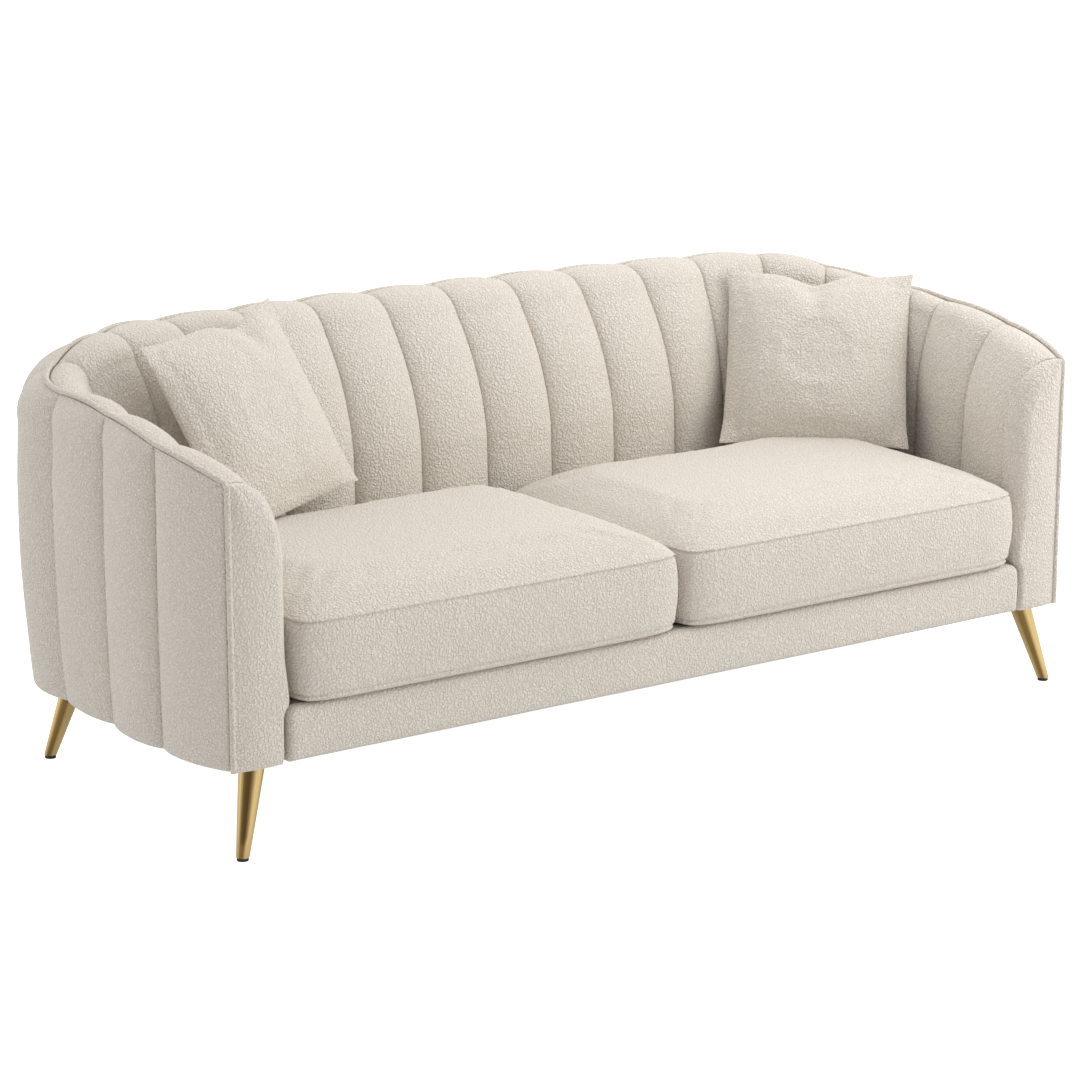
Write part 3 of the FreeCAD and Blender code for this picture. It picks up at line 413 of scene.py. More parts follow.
def outer_path(plane, crown, rise):
    """The face of an outer channel, from the welt down and round under the hem."""
    total, set_in = plane.total, plane.set_in
    _, lip, root = welt_lips(plane, rise)
    shoulder = (total - 0.002 - 0.08 * set_in + crown, plane.top - 0.040 - 0.9 * set_in)
    via = (0.29 * lip[0] + 0.71 * shoulder[0], 0.71 * lip[1] + 0.29 * shoulder[1])
    hem = total - plane.hem + 0.8 * crown
    widest = (total + crown, BULGE_LEVEL)
    low = (hem, UNDERSIDE + HEM_TURN)
    under = (hem - HEM_TURN, UNDERSIDE)
    halfway = HEM_TURN * (1 - math.sqrt(0.5))
    via_under = (hem - halfway, UNDERSIDE + halfway)
    path = [root] + line(root, lip, 3) + arc(lip, via, shoulder, 16)
    path += arc(shoulder, widest, low, 62) + arc(low, via_under, under, 5)
    return path + line(under, (under[0] - 0.012, UNDERSIDE), 2)


def cushioned(share):
    """Crown of a channel across its width: round, with steep sides at the seams."""
    return max(0.0, 1 - (2 * share - 1) ** 2) ** FULLNESS


def lumps(point, size, seed):
    """Smooth wandering between about -1 and 1, with bumps of a given size."""
    return noise.noise(point / size + Vector((seed, 2.3 * seed, 4.1 * seed)))


def fine_lumps(point, seed):
    """The small unevenness of stuffing under its cover, in metres."""
    return 0.0006 * lumps(point, 0.019, seed)


def inward(path, index):
    """The way into the stuffing, square to a path at one of its points."""
    before = path[max(index - 1, 0)]
    after = path[min(index + 1, len(path) - 1)]
    run = math.hypot(after[0] - before[0], after[1] - before[1]) or 1.0
    return (after[1] - before[1]) / run, -(after[0] - before[0]) / run


def make_mesh(name, points, faces, made):
    """A closed, smooth mesh with its normals outwards."""
    data = bpy.data.meshes.new(name)
    data.from_pydata(points, [], faces)
    shape = bmesh.new()
    shape.from_mesh(data)
    bmesh.ops.remove_doubles(shape, verts=shape.verts, dist=0.00002)
    bmesh.ops.recalc_face_normals(shape, faces=shape.faces)
    shape.to_mesh(data)
    shape.free()
    data.materials.append(made)
    data.shade_smooth()
    data.set_sharp_from_angle(angle=math.radians(58))
    piece = bpy.data.objects.new(name, data)
    scene.collection.objects.link(piece)
    return piece


CHANNEL_COLUMNS = 22
CHANNEL_WIDE, PUCKER_REACH = 0.16, 0.016
LIP_LAYER, MIDDLE_LAYER = 0.004, 0.016


def channel_columns(seam, path_of, crown_of, dip, seed):
    """The face of a stuffed channel from seam to seam, each point with its way in."""
    columns = []
    for k in range(CHANNEL_COLUMNS + 1):
        share = 0.5 - 0.5 * math.cos(math.pi * k / CHANNEL_COLUMNS)
        plane = Station(seam + share)
        held = dip * (1 - 0.75 * max(0.0, plane.seam - SEAMS + 1) ** 4)
        crown = (crown_of(plane) + held) * cushioned(share) - held
        path = path_of(plane, crown, plane.scallop(share))
        near_seam = math.exp(-((min(share, 1 - share) * CHANNEL_WIDE / PUCKER_REACH) ** 2))
        column = []
        for index, (x, up) in enumerate(path):
            into = inward(path, index)
            point = plane.at(x, up)
            ends = min(1.0, index / 6, (len(path) - 1 - index) / 8)
            fade = ends * min(1.0, 8 * share * (1 - share) + 0.15)
            swell = 0.0022 * lumps(point, 0.16, seed) + fine_lumps(point, seed + 5)
            pucker = 0.0013 * near_seam * lumps(Vector((0, 0, index * 0.0068)), 0.021, seed + 9)
            push = -(swell + pucker) * fade
            column.append((plane.at(x + into[0] * push, up + into[1] * push), plane.out * into[0], into[1]))
        columns.append(column)
    return columns


def channel_mesh(name, columns):
    """One stuffed channel: its face, and a flat back a little inside it."""
    across = len(columns) - 1
    rows = len(columns[0])
    points = []
    for column in columns:
        points += [entry[0] for entry in column]
    backs = []
    for index, most in ((0, LIP_LAYER), (across // 2, MIDDLE_LAYER), (across, LIP_LAYER)):
        backs.append(len(points))
        for row, (point, out, up) in enumerate(columns[index]):
            deep = 0.002 + most * min(1.0, row / 5, (rows - 1 - row) / 8)
            points.append(point + (out + Vector((0, 0, up))) * deep)
    faces = []
    for k in range(across):
        for row in range(rows - 1):
            a = k * rows + row
            faces.append((a, a + 1, a + rows + 1, a + rows))
    edges = ((backs[0], backs[1]), (backs[1], backs[2]), (0, backs[0]), (across * rows, backs[2]))
    for left, right in edges:
        for row in range(rows - 1):
            a, b = left + row, right + row
            faces.append((a, b, b + 1, a + 1))
    for row in (0, rows - 1):
        front = [k * rows + row for k in range(across + 1)]
        faces.append(tuple(front + [backs[2] + row, backs[1] + row, backs[0] + row]))
    return make_mesh(name, points, faces, boucle)


def dress(piece, body, node):
    """A piece rides on its body and stands for a node of the frame."""
    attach(piece, body)
    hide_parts(node)


for number in range(2 * SEAMS):
    columns = channel_columns(number - SEAMS, inner_path, lambda plane: plane.crown, INNER_DIP, number)
    piece = channel_mesh("inner_cover_%02d" % (number + 1), columns)
    dress(piece, "sofa", "inner_channel_%02d" % (number + 1))

# Each group of outer channels: its node, its first channel and the one after it.
OUTER_GROUPS = (
    ("outer_channels_left_arm", 0, 3),
    ("outer_channels_rear_left", 3, 6),
    ("outer_channels_back", 6, 14),
    ("outer_channels_rear_right", 14, 17),
    ("outer_channels_right_arm", 17, 20),
)
OUTER_SEED = 40
for group, first, last in OUTER_GROUPS:
    for number in range(first, last):
        columns = channel_columns(
            number - SEAMS, outer_path, lambda plane: OUTER_CROWN, OUTER_DIP, OUTER_SEED + number
        )
        piece = channel_mesh("outer_cover_%02d" % (number + 1), columns)
        dress(piece, "sofa", group)


# Welt
# A cord covered with the same cloth on the bias, sewn between the inner and
# outer channels and down both arm fronts.
def ring_faces(rings, sides):
    """Faces between rings of points, with a lid on each end."""
    faces = []
    for ring in range(rings - 1):
        for k in range(sides):
            a, b = ring * sides + k, ring * sides + (k + 1) % sides
            faces.append((a, b, b + sides, a + sides))
    faces.append(tuple(range(sides)))
    faces.append(tuple(range((rings - 1) * sides, rings * sides)))
    return faces


def tube(name, path, radius, sides, made, wobble):
    """A round bead along closely spaced points, closed at both ends."""
    points = []
    across = Vector((0, 1, 0))
    for index, point in enumerate(path):
        along = (path[min(index + 1, len(path) - 1)] - path[max(index - 1, 0)]).normalized()
        across = (across - along * across.dot(along)).normalized()
        other = along.cross(across)
        for k in range(sides):
            turn = math.tau * k / sides
            way = across * math.cos(turn) + other * math.sin(turn)
            grow = radius + wobble * lumps(point + way * radius, 0.008, 3)
            points.append(point + way * grow)
    return make_mesh(name, points, ring_faces(len(path), sides), made)


def even_points(path, step):
    """Points at even lengths along a run of points."""
    marks = [0.0]
    for before, after in zip(path, path[1:]):
        marks.append(marks[-1] + (after - before).length)
    count = round(marks[-1] / step)
    made = []
    index = 0
    for k in range(count + 1):
        mark = marks[-1] * k / count
        while index < len(path) - 2 and marks[index + 1] < mark:
            index += 1
        span = marks[index + 1] - marks[index]
        made.append(path[index].lerp(path[index + 1], (mark - marks[index]) / span if span else 0.0))
    return made


WELT_HALF = OUTER_HALF - OUTER_DRAW_IN - 0.004
WELT_BEND, WELT_PROUD = 0.013, 0.0018
WELT_PARTS, WELT_STEP = 24, 0.0045

round_top = []
for k in range(2 * SEAMS * WELT_PARTS + 1):
    plane = Station(k / WELT_PARTS - SEAMS)
    share = (k % WELT_PARTS) / WELT_PARTS
    round_top.append(plane.at(plane.reach + 0.0008, plane.top + WELT_PROUD + plane.scallop(share)))
rises = []
for side in (-1, 1):
    line_x = side * WELT_HALF
    line_y = ARM_FRONT - WELT_PROUD
    line_top = WELT_FRONT + WELT_PROUD
    foot = Vector((line_x, line_y, UNDERSIDE + 0.001))
    top = Vector((line_x, line_y, line_top - WELT_BEND))
    corner = [
        Vector((line_x, line_y + WELT_BEND * (1 - math.cos(t)), line_top - WELT_BEND * (1 - math.sin(t))))
        for t in (0.35, 0.7, 1.05, 1.35)
    ]
    rises.append([foot, top] + corner)
inside = [point for point in round_top if point.y > ARM_FRONT + WELT_BEND + 0.004]
welt_path = even_points(rises[0] + inside + rises[1][::-1], WELT_STEP)
# The welt's cloth: its second colour is the painted shade in the hollows between the loops.
welt_cloth = looped_cloth("welt_cloth", (0.89, 0.835, 0.755), (0.66, 0.595, 0.51))
welt = tube("welt_bead", welt_path, WELT_RADIUS, 12, welt_cloth, 0.0004)
dress(welt, "sofa", "welt")


# Arm fronts
# A padded panel closes each arm between its upright welt and the foremost
# inner seam, rounded over the roll and narrowed beside the front rail.
ARM_FACE = INNER_HALF - ARM_DRAW_IN
PAD_TOP = WELT_FRONT - 0.0015
RAIL_END, RAIL_UPPER, RAIL_ROUND, RAIL_GAP = 0.888, 0.270, 0.020, 0.002


def arm_outline():
    """The panel's inner edge, from the hem up round the rail and over the roll to the welt."""
    wide = WELT_HALF - ARM_FACE
    climb = PAD_TOP - ROLL_START
    beside = (RAIL_END + RAIL_GAP, UNDERSIDE)
    middle = (RAIL_END - RAIL_ROUND, RAIL_UPPER - RAIL_ROUND)
    reach = RAIL_ROUND + RAIL_GAP
    path = [beside] + line(beside, (beside[0], middle[1]), 11)
    path += [
        (middle[0] + reach * math.cos(turn), middle[1] + reach * math.sin(turn))
        for turn in (0.2, 0.4, 0.6, 0.8, 0.95)
    ]
    over = path[-1]
    path += arc(over, (ARM_FACE + 0.0008, over[1] + 0.0085), (ARM_FACE, over[1] + 0.022), 6)
    start = (ARM_FACE, ROLL_START)
    roll = (ARM_FACE + 0.29 * wide, ROLL_START + 0.77 * climb)
    path += line(path[-1], start, 30)
    path += arc(start, (ARM_FACE + 0.08 * wide, ROLL_START + 0.41 * climb), roll, 18)
    path += arc(roll, (ARM_FACE + 0.59 * wide, ROLL_START + 0.95 * climb), (WELT_HALF, PAD_TOP), 18)
    return path


def arm_front_panel(side, name, seed):
    """The padded panel: rounded in from its seam, then flat across to the welt."""
    outline = arm_outline()
    count = len(outline)
    rounding, face = 12, 12
    points = []
    for index, (x, up) in enumerate(outline):
        into = inward(outline, index)
        to_end = min(1.0, (count - 1 - index) / 14)
        radius = ease(0.013, 0.034, (up - 0.285) / 0.10) * ease(0, 1, to_end)
        share = (x - ARM_FACE) / (WELT_HALF - ARM_FACE)
        seam_y = ARM_FRONT + FRONT_WRAP - 0.0025 - share * (FRONT_WRAP - FRONT_SEAM_BACK)
        front_y = ARM_FRONT - 0.011 * ease(0, 1, to_end) + 0.006 * max(0.0, 1 - index / 3) ** 2
        row = []
        for k in range(rounding + 1):
            turn = math.pi / 2 * k / rounding
            lift = radius * (1 - math.cos(turn))
            y = seam_y + (front_y - seam_y) * math.sin(turn)
            row.append(Vector((x + into[0] * lift, y, up + into[1] * lift)))
        last = row[-1]
        edge = Vector((WELT_HALF, ARM_FRONT - 0.0005, last.z + (PAD_TOP - last.z) * (1 - to_end)))
        for k in range(1, face + 1):
            part = k / face
            point = last.lerp(edge, part)
            point.y = front_y + (edge.y - front_y) * part ** 2.2 - 0.0025 * math.sin(math.pi * part)
            row.append(point)
        for k, point in enumerate(row):
            fade = min(1.0, k / 4, (len(row) - 1 - k) / 3, index / 3, (count - 1 - index) / 6)
            shift = (0.0016 * lumps(point, 0.13, seed) + fine_lumps(point, seed + 5)) * fade
            points.append(Vector((side * (point.x - shift * 0.4), point.y - shift, point.z)))
    return make_mesh(name, points, ring_faces(count, rounding + face + 1), boucle)


for side, hand in ((-1, "left"), (1, "right")):
    piece = arm_front_panel(side, "arm_front_cover_" + hand, 70 + side)
    dress(piece, "sofa", "arm_front_pad_" + hand)


# Front rail
# The upholstered rail under the cushions: cloth over thin foam, pulled round
# the edges, with its upper corners rounded.
def apply_modifiers(piece):
    """Makes the piece's modifiers part of its mesh."""
    graph = bpy.context.evaluated_depsgraph_get()
    graph.update()
    data = bpy.data.meshes.new_from_object(piece.evaluated_get(graph))
    piece.modifiers.clear()
    old = piece.data
    piece.data = data
    bpy.data.meshes.remove(old)


def remeshed(piece, voxel):
    """The piece's mesh again in even squares."""
    remesh = piece.modifiers.new("even", "REMESH")
    remesh.mode = "VOXEL"
    remesh.voxel_size = voxel
    apply_modifiers(piece)


def soft_block(name, low, high, bevels, voxel, made):
    """A padded block: its edges rounded in turn, then cut into even squares."""
    shape = bmesh.new()
    bmesh.ops.create_cube(shape, size=1.0)
    for vertex in shape.verts:
        vertex.co = Vector([low[k] + (vertex.co[k] + 0.5) * (high[k] - low[k]) for k in range(3)])
    for test, radius, segments in bevels:
        edges = [edge for edge in shape.edges if test((edge.verts[0].co + edge.verts[1].co) / 2)]
        bmesh.ops.bevel(shape, geom=edges, offset=radius, segments=segments, profile=0.5, affect="EDGES")
    data = bpy.data.meshes.new(name)
    shape.to_mesh(data)
    shape.free()
    piece = bpy.data.objects.new(name, data)
    scene.collection.objects.link(piece)
    remeshed(piece, voxel)
    piece.data.materials.clear()
    piece.data.materials.append(made)
    piece.data.shade_smooth()
    return piece


rail_low, rail_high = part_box("front_rail_pad")
rail_low.x, rail_high.x = -RAIL_END, RAIL_END


def rail_upper_corner(point):
    """Whether an edge is one of the two at the rail's upper ends."""
    return point.z > rail_high.z - 1e-4 and abs(abs(point.x) - rail_high.x) < 1e-4


def rail_front_edge(point):
    """Whether an edge bounds the rail's front face."""
    return point.y < rail_low.y + 1e-4


rail = soft_block(
    "front_rail_cover", rail_low, rail_high,
    ((rail_upper_corner, RAIL_ROUND, 8), (rail_front_edge, 0.012, 5)), 0.005, boucle,
)
for vertex in rail.data.vertices:
    point = vertex.co.copy()
    if point.y < rail_low.y + 0.02:
        share = (point.z - rail_low.z) / (rail_high.z - rail_low.z)
        out = 0.003 * max(0.0, 4 * share * (1 - share)) + 0.0016 * lumps(point, 0.15, 91)
        vertex.co.y = point.y - out + 0.001 - fine_lumps(point, 92)
dress(rail, "sofa", "front_rail_pad")


# Deck
# The pad on the springs that the cushions lie on: plain platform cloth over
# felt, quilted to it in wide rows.
QUILT_WIDE, QUILT_DEEP, QUILT_START = 0.215, 0.20, 0.17
deck_low, deck_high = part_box("deck_pad")
deck_cloth, deck_shader = new_material("deck_cloth", (0.72, 0.69, 0.63), 0.9)
place = add_node(deck_cloth, "TexCoord").outputs["Object"]
threads = {"Vector": place, "Scale": 260.0, "Distortion": 0.6}
warp = add_node(deck_cloth, "TexWave", threads, bands_direction="X")
weft = add_node(deck_cloth, "TexWave", threads, bands_direction="Y")
weave = add_node(deck_cloth, "Math", {0: warp.outputs["Fac"], 1: weft.outputs["Fac"]}, operation="MULTIPLY")
shade(deck_cloth, deck_shader, weave.outputs[0], (0.58, 0.55, 0.49), (0.76, 0.73, 0.67), 0.0006)
deck = soft_block("deck_cover", deck_low, deck_high, ((lambda point: True, 0.005, 3),), 0.006, deck_cloth)
for vertex in deck.data.vertices:
    point = vertex.co.copy()
    if point.z > (deck_low.z + deck_high.z) / 2:
        across = math.cos(math.tau * point.x / QUILT_WIDE)
        along = math.cos(math.tau * (point.y + QUILT_START) / QUILT_DEEP)
        dip = 0.003 * (1 - abs(across * along)) ** 3 + 0.0008 * abs(lumps(point, 0.09, 96))
        vertex.co.z = point.z - dip
dress(deck, "sofa", "deck_pad")


# Seat cushions
# Two loose box cushions: a crowned top and a flat base panel, joined by an
# upright boxing strip with a plain seam above and below.
UPPER_SEAM, LOWER_SEAM = 0.422, 0.286
CUSHION_CORNER = 0.055
CUSHION_PRESSURE = 0.9

# The side from the upper seam to the base: how far in each level lies. The two
# sharp points are the seams, which stand a little open.
BOXING = (
    (0.0030, UPPER_SEAM + 0.0026), (0.0078, UPPER_SEAM + 0.0002), (0.0032, UPPER_SEAM - 0.0024),
    (0.0018, UPPER_SEAM - 0.008), (-0.0005, UPPER_SEAM - 0.022), (-0.0020, UPPER_SEAM - 0.045),
    (-0.0025, UPPER_SEAM - 0.070), (-0.0015, UPPER_SEAM - 0.092), (0.0005, UPPER_SEAM - 0.112),
    (0.0022, LOWER_SEAM + 0.010), (0.0036, LOWER_SEAM + 0.0030), (0.0088, LOWER_SEAM + 0.0002),
    (0.0044, LOWER_SEAM - 0.0026), (0.0060, LOWER_SEAM - 0.007), (0.0105, LOWER_SEAM - 0.0115),
)


def settle(piece, pressure, slack, frames, most, held=()):
    """Lets a cover find its own shape: the filling presses it out, its seams hold."""
    before = [vertex.co.copy() for vertex in piece.data.vertices]
    cloth = piece.modifiers.new("cover", "CLOTH")
    rules = cloth.settings
    rules.quality = 6
    rules.mass = 0.3
    rules.tension_stiffness = 15.0
    rules.compression_stiffness = 15.0
    rules.shear_stiffness = 6.0
    rules.bending_stiffness = 0.5
    rules.shrink_min = -slack
    rules.use_pressure = True
    rules.uniform_pressure_force = pressure
    rules.effector_weights.gravity = 0.0
    if held:
        piece.vertex_groups.new(name="held").add(list(held), 1.0, "REPLACE")
        rules.vertex_group_mass = "held"
    cloth.collision_settings.use_collision = False
    cloth.point_cache.frame_start = 1
    cloth.point_cache.frame_end = frames
    for number in range(1, frames + 1):
        scene.frame_set(number)
    apply_modifiers(piece)
    piece.vertex_groups.clear()
    scene.frame_set(1)
    for vertex, start in zip(piece.data.vertices, before):
        move = vertex.co - start
        if move.length > most:
            vertex.co = start + move * (most / move.length)


def subdivided(piece):
    """The piece's mesh cut once more and smoothed."""
    piece.modifiers.new("finer", "SUBSURF").levels = 1
    apply_modifiers(piece)
    piece.data.shade_smooth()


def cushion_rise(inset):
    """Share of the crown at a distance in from the seam."""
    return 1 - math.exp(-inset / 0.036)


def cushion_mesh(name, low, high, seed):
    """A box cushion: a crowned top grid, rings down the boxing, and a flat base."""
    half_x, half_y = (high.x - low.x) / 2, (high.y - low.y) / 2
    middle = Vector(((high.x + low.x) / 2, (high.y + low.y) / 2, 0))
    crown = high.z - UPPER_SEAM
    cells_x, cells_y = 72, 56

    def plan(a, b, inset):
        """Point of the plan: corners rounded, sides a little drawn in between them."""
        x = a * half_x - math.copysign(0.293 * CUSHION_CORNER, a) * (abs(b) ** 11) * abs(a) ** 3
        y = b * half_y - math.copysign(0.293 * CUSHION_CORNER, b) * (abs(a) ** 14) * abs(b) ** 3
        return Vector((x * (1 - inset / half_x), y * (1 - inset / half_y), 0)) + middle

    def spaced(count):
        """Places from -1 to 1, a little closer together towards the ends."""
        even = [2 * k / count - 1 for k in range(count + 1)]
        return [0.6 * place + 0.4 * math.sin(math.pi / 2 * place) for place in even]

    grid_a = spaced(cells_x)
    grid_b = spaced(cells_y)
    points = []
    top = {}
    for i, a in enumerate(grid_a):
        for j, b in enumerate(grid_b):
            point = plan(a, b, 0.004)
            rise = cushion_rise((1 - abs(a)) * half_x) * cushion_rise((1 - abs(b)) * half_y)
            point.z = UPPER_SEAM + 0.004 + (crown - 0.004) * rise
            inner = min(1.0, (1 - abs(a)) * half_x / 0.03, (1 - abs(b)) * half_y / 0.03)
            uneven = 0.0018 * lumps(point, 0.24, seed) + fine_lumps(point, seed + 3)
            point.z += inner * (uneven - 0.004)
            top[i, j] = len(points)
            points.append(point)
    edge = [(i, 0) for i in range(cells_x)] + [(cells_x, j) for j in range(cells_y)]
    edge += [(i, cells_y) for i in range(cells_x, 0, -1)] + [(0, j) for j in range(cells_y, 0, -1)]
    profile = BOXING + ((0.019, low.z + 0.0015), (0.030, low.z))
    rings = [[top[key] for key in edge]]
    for level, (inset, up) in enumerate(profile):
        ring = []
        for i, j in edge:
            point = plan(grid_a[i], grid_b[j], inset)
            point.z = up
            off = point - middle
            out = Vector((
                off.x / half_x ** 8 * abs(off.x) ** 6, off.y / half_y ** 8 * abs(off.y) ** 6, 0,
            )).normalized()
            fade = 1.0 if 2 < level < 9 else 0.3
            uneven = 0.0018 * lumps(point, 0.14, seed + 7) + fine_lumps(point, seed + 8)
            point += out * fade * (uneven - 0.001)
            ring.append(len(points))
            points.append(point)
        rings.append(ring)
    base = {}
    for i, a in enumerate(grid_a):
        for j, b in enumerate(grid_b):
            if i in (0, cells_x) or j in (0, cells_y):
                continue
            base[i, j] = len(points)
            point = plan(a, b, 0.030)
            point.z = low.z
            points.append(point)
    for key, index in zip(edge, rings[-1]):
        base[key] = index
    faces = []
    for grid, flip in ((top, False), (base, True)):
        for i in range(cells_x):
            for j in range(cells_y):
                quad = (grid[i, j], grid[i + 1, j], grid[i + 1, j + 1], grid[i, j + 1])
                faces.append(quad[::-1] if flip else quad)
    for upper, lower in zip(rings, rings[1:]):
        for k in range(len(edge)):
            after = (k + 1) % len(edge)
            faces.append((upper[k], lower[k], lower[after], upper[after]))
    piece = make_mesh(name, points, faces, boucle)
    held = [
        vertex.index for vertex in piece.data.vertices
        if vertex.co.z < LOWER_SEAM + 0.004 or abs(vertex.co.z - UPPER_SEAM) < 0.0045
    ]
    settle(piece, CUSHION_PRESSURE, slack=0.002, frames=14, most=0.006, held=held)
    subdivided(piece)
    return piece


for hand, seed in (("left", 110), ("right", 120)):
    node = "seat_cushion_" + hand
    low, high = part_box(node)
    piece = cushion_mesh("box_cushion_" + hand, low, high, seed)
    dress(piece, hand + "_cushion", node)


# Throw pillows
# Two square knife-edge covers of the same cloth over a soft filling, set up in
# the rear corners with a dent knocked into the top edge.
PILLOW_HALF = 0.200
PILLOW_THICK = 0.064
PILLOW_PRESSURE = 1.0

# How each stands: turned, leant back and rolled in degrees, where its dent is
# from the middle of its top edge, and the seed of its lumps.
PILLOWS = {"left": (19, 28, 6, 0.35, 140), "right": (-40, 32, -1, -0.06, 150)}


def fit_size(piece, halves):
    """Brings a settled cover to its measured size about its middle."""
    for axis in range(3):
        reach = [vertex.co[axis] for vertex in piece.data.vertices]
        middle = (max(reach) + min(reach)) / 2
        scale = 2 * halves[axis] / (max(reach) - min(reach))
        for vertex in piece.data.vertices:
            vertex.co[axis] = (vertex.co[axis] - middle) * scale


def pillow_mesh(name, dent, seed):
    """The cover lying flat, its face towards +Z and its top towards +Y."""
    cells = 60
    points = []
    places = []
    layers = []
    for face in (1, -1):
        layer = {}
        for i in range(cells + 1):
            for j in range(cells + 1):
                if face < 0 and (i in (0, cells) or j in (0, cells)):
                    layer[i, j] = layers[0][i, j]
                    continue
                a, b = 2 * i / cells - 1, 2 * j / cells - 1
                x = a * PILLOW_HALF * (1 - 0.045 * (1 - b * b) * abs(a))
                y = b * PILLOW_HALF * (1 - (0.045 if b > 0 else 0.010) * (1 - a * a) * abs(b))
                fat = ((1 - abs(a) ** 2.3) * (1 - abs(b) ** 2.3)) ** 0.60
                layer[i, j] = len(points)
                points.append(Vector((x, y, face * PILLOW_THICK * fat)))
                places.append((a, b, face))
        layers.append(layer)
    faces = []
    for layer, flip in zip(layers, (False, True)):
        for i in range(cells):
            for j in range(cells):
                quad = (layer[i, j], layer[i + 1, j], layer[i + 1, j + 1], layer[i, j + 1])
                faces.append(quad[::-1] if flip else quad)
    piece = make_mesh(name, points, faces, boucle)
    settle(piece, PILLOW_PRESSURE, slack=0.015, frames=14, most=0.008)
    fit_size(piece, (PILLOW_HALF, PILLOW_HALF, PILLOW_THICK))
    for vertex, (a, b, face) in zip(piece.data.vertices, places):
        point = vertex.co
        rim = max(abs(a), abs(b))
        fade = min(1.0, 6 * (1 - rim))
        top = max(0.0, b)
        swell = 0.0035 * lumps(point, 0.12, seed + face) + fine_lumps(point, seed)
        point.z += face * fade * swell
        if abs(rim - (1 - 2 / cells)) < 0.5 / cells:
            point.z *= 0.62
        point.z -= face * 0.017 * math.exp(-(((a - dent) / 0.12) ** 2)) * top ** 2 * fade
        ear = max(0.0, abs(a) + abs(b) - 1.72) / 0.28
        point.x += math.copysign(0.006 * ear, a)
        point.y += math.copysign(0.006 * ear, b)
        point.y -= 0.024 * math.exp(-(((a - dent) / 0.24) ** 2)) * top ** 3
    subdivided(piece)
    return piece


for hand, (turn, lean, roll, dent, seed) in PILLOWS.items():
    node = "pillow_" + hand
    low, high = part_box(node)
    piece = pillow_mesh("throw_pillow_" + hand, dent, seed)
    stand = Matrix.Rotation(math.radians(90 - lean), 4, "X")
    face = Matrix.Rotation(math.radians(turn), 4, "Z")
    spin = Matrix.Rotation(math.radians(roll), 4, "Z")
    piece.data.transform(Matrix.Translation((low + high) / 2) @ face @ stand @ spin)
    dress(piece, hand + "_pillow", node)


# Legs
# Turned tapered tubes of satin brass on steel plates, splayed outwards, each
# on a thin black glide.
# How many painted reflection bands run down each leg, and where round it they begin, as a share of a turn.
REFLECTION_BANDS, REFLECTION_BAND_PLACE = 3, 0.13
brass, brass_shader = new_material("satin_brass", (0.70, 0.52, 0.26), 0.24, 1.0)
# Painted reflection: the colour darkens in bands at fixed places round each leg, over the real brushing
# streaks.
around = add_node(brass, "UVMap", uv_map="around").outputs["UV"]
round_share = add_node(brass, "SeparateXYZ", {"Vector": around}).outputs["X"]
turned = add_node(brass, "Math", {0: round_share, 1: REFLECTION_BAND_PLACE}, operation="ADD")
bands = add_node(brass, "Math", {0: turned.outputs[0], 1: math.tau * REFLECTION_BANDS}, operation="MULTIPLY")
waves = add_node(brass, "Math", {0: bands.outputs[0]}, operation="COSINE")
painted_reflection = add_node(brass, "MapRange", {"Value": waves.outputs[0], "From Min": -0.7, "From Max": 1.0})
drawn = add_node(brass, "Mapping", {"Vector": around, "Scale": (1.0, 0.02, 1.0)})
brushed = add_node(brass, "TexNoise", {"Vector": drawn.outputs["Vector"], "Scale": 60.0, "Detail": 3.0})
deep = add_node(brass, "Math", {0: painted_reflection.outputs["Result"], 1: 1.6}, operation="POWER")
lighter = add_node(brass, "Math", {0: brushed.outputs["Fac"], 1: deep.outputs[0]}, operation="SUBTRACT")
contrast = add_node(brass, "MapRange", {"Value": lighter.outputs[0], "From Min": -0.35, "From Max": 0.55})
shade(brass, brass_shader, contrast.outputs["Result"], (0.24, 0.15, 0.05), (0.77, 0.565, 0.25), 0.00008)
brass_shader.inputs["Anisotropic"].default_value = 0.4

FOOT_RADIUS, LEG_RADIUS, LEG_SIDES = 0.0125, 0.024, 64

# Shares of the leg's height and how much thinner it is there than its taper.
LEG_LEVELS = (
    (0.0, -0.0012), (0.0025, -0.0004), (0.008, 0.0), (0.25, 0.0), (0.5, 0.0), (0.75, 0.0), (1.0, 0.0),
)


def leg_ends(node, end, hand):
    """Middles of a leg's foot and head: the foot is splayed outwards both ways."""
    low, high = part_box(node)
    foot = Vector((
        low.x + FOOT_RADIUS if hand == "left" else high.x - FOOT_RADIUS,
        low.y + FOOT_RADIUS if end == "front" else high.y - FOOT_RADIUS,
        low.z,
    ))
    head = Vector((
        high.x - LEG_RADIUS if hand == "left" else low.x + LEG_RADIUS,
        high.y - LEG_RADIUS if end == "front" else low.y + LEG_RADIUS,
        high.z,
    ))
    return foot, head


def leg_mesh(name, foot, head):
    """A tapered tube from foot to head; its UVs hold the turn round it and the height."""
    points = []
    for share, inset in LEG_LEVELS:
        middle = foot.lerp(head, share)
        radius = FOOT_RADIUS + (LEG_RADIUS - FOOT_RADIUS) * share + inset
        for k in range(LEG_SIDES):
            turn = math.tau * k / LEG_SIDES
            points.append(middle + Vector((math.cos(turn), math.sin(turn), 0)) * radius)
    piece = make_mesh(name, points, ring_faces(len(LEG_LEVELS), LEG_SIDES), brass)
    wrap = piece.data.uv_layers.new(name="around")
    for loop in piece.data.loops:
        place = piece.data.vertices[loop.vertex_index].co
        middle = foot.lerp(head, (place.z - foot.z) / (head.z - foot.z))
        turn = math.atan2(place.x - middle.x, middle.y - place.y) / math.tau
        wrap.data[loop.index].uv = (turn, place.z)
    return piece


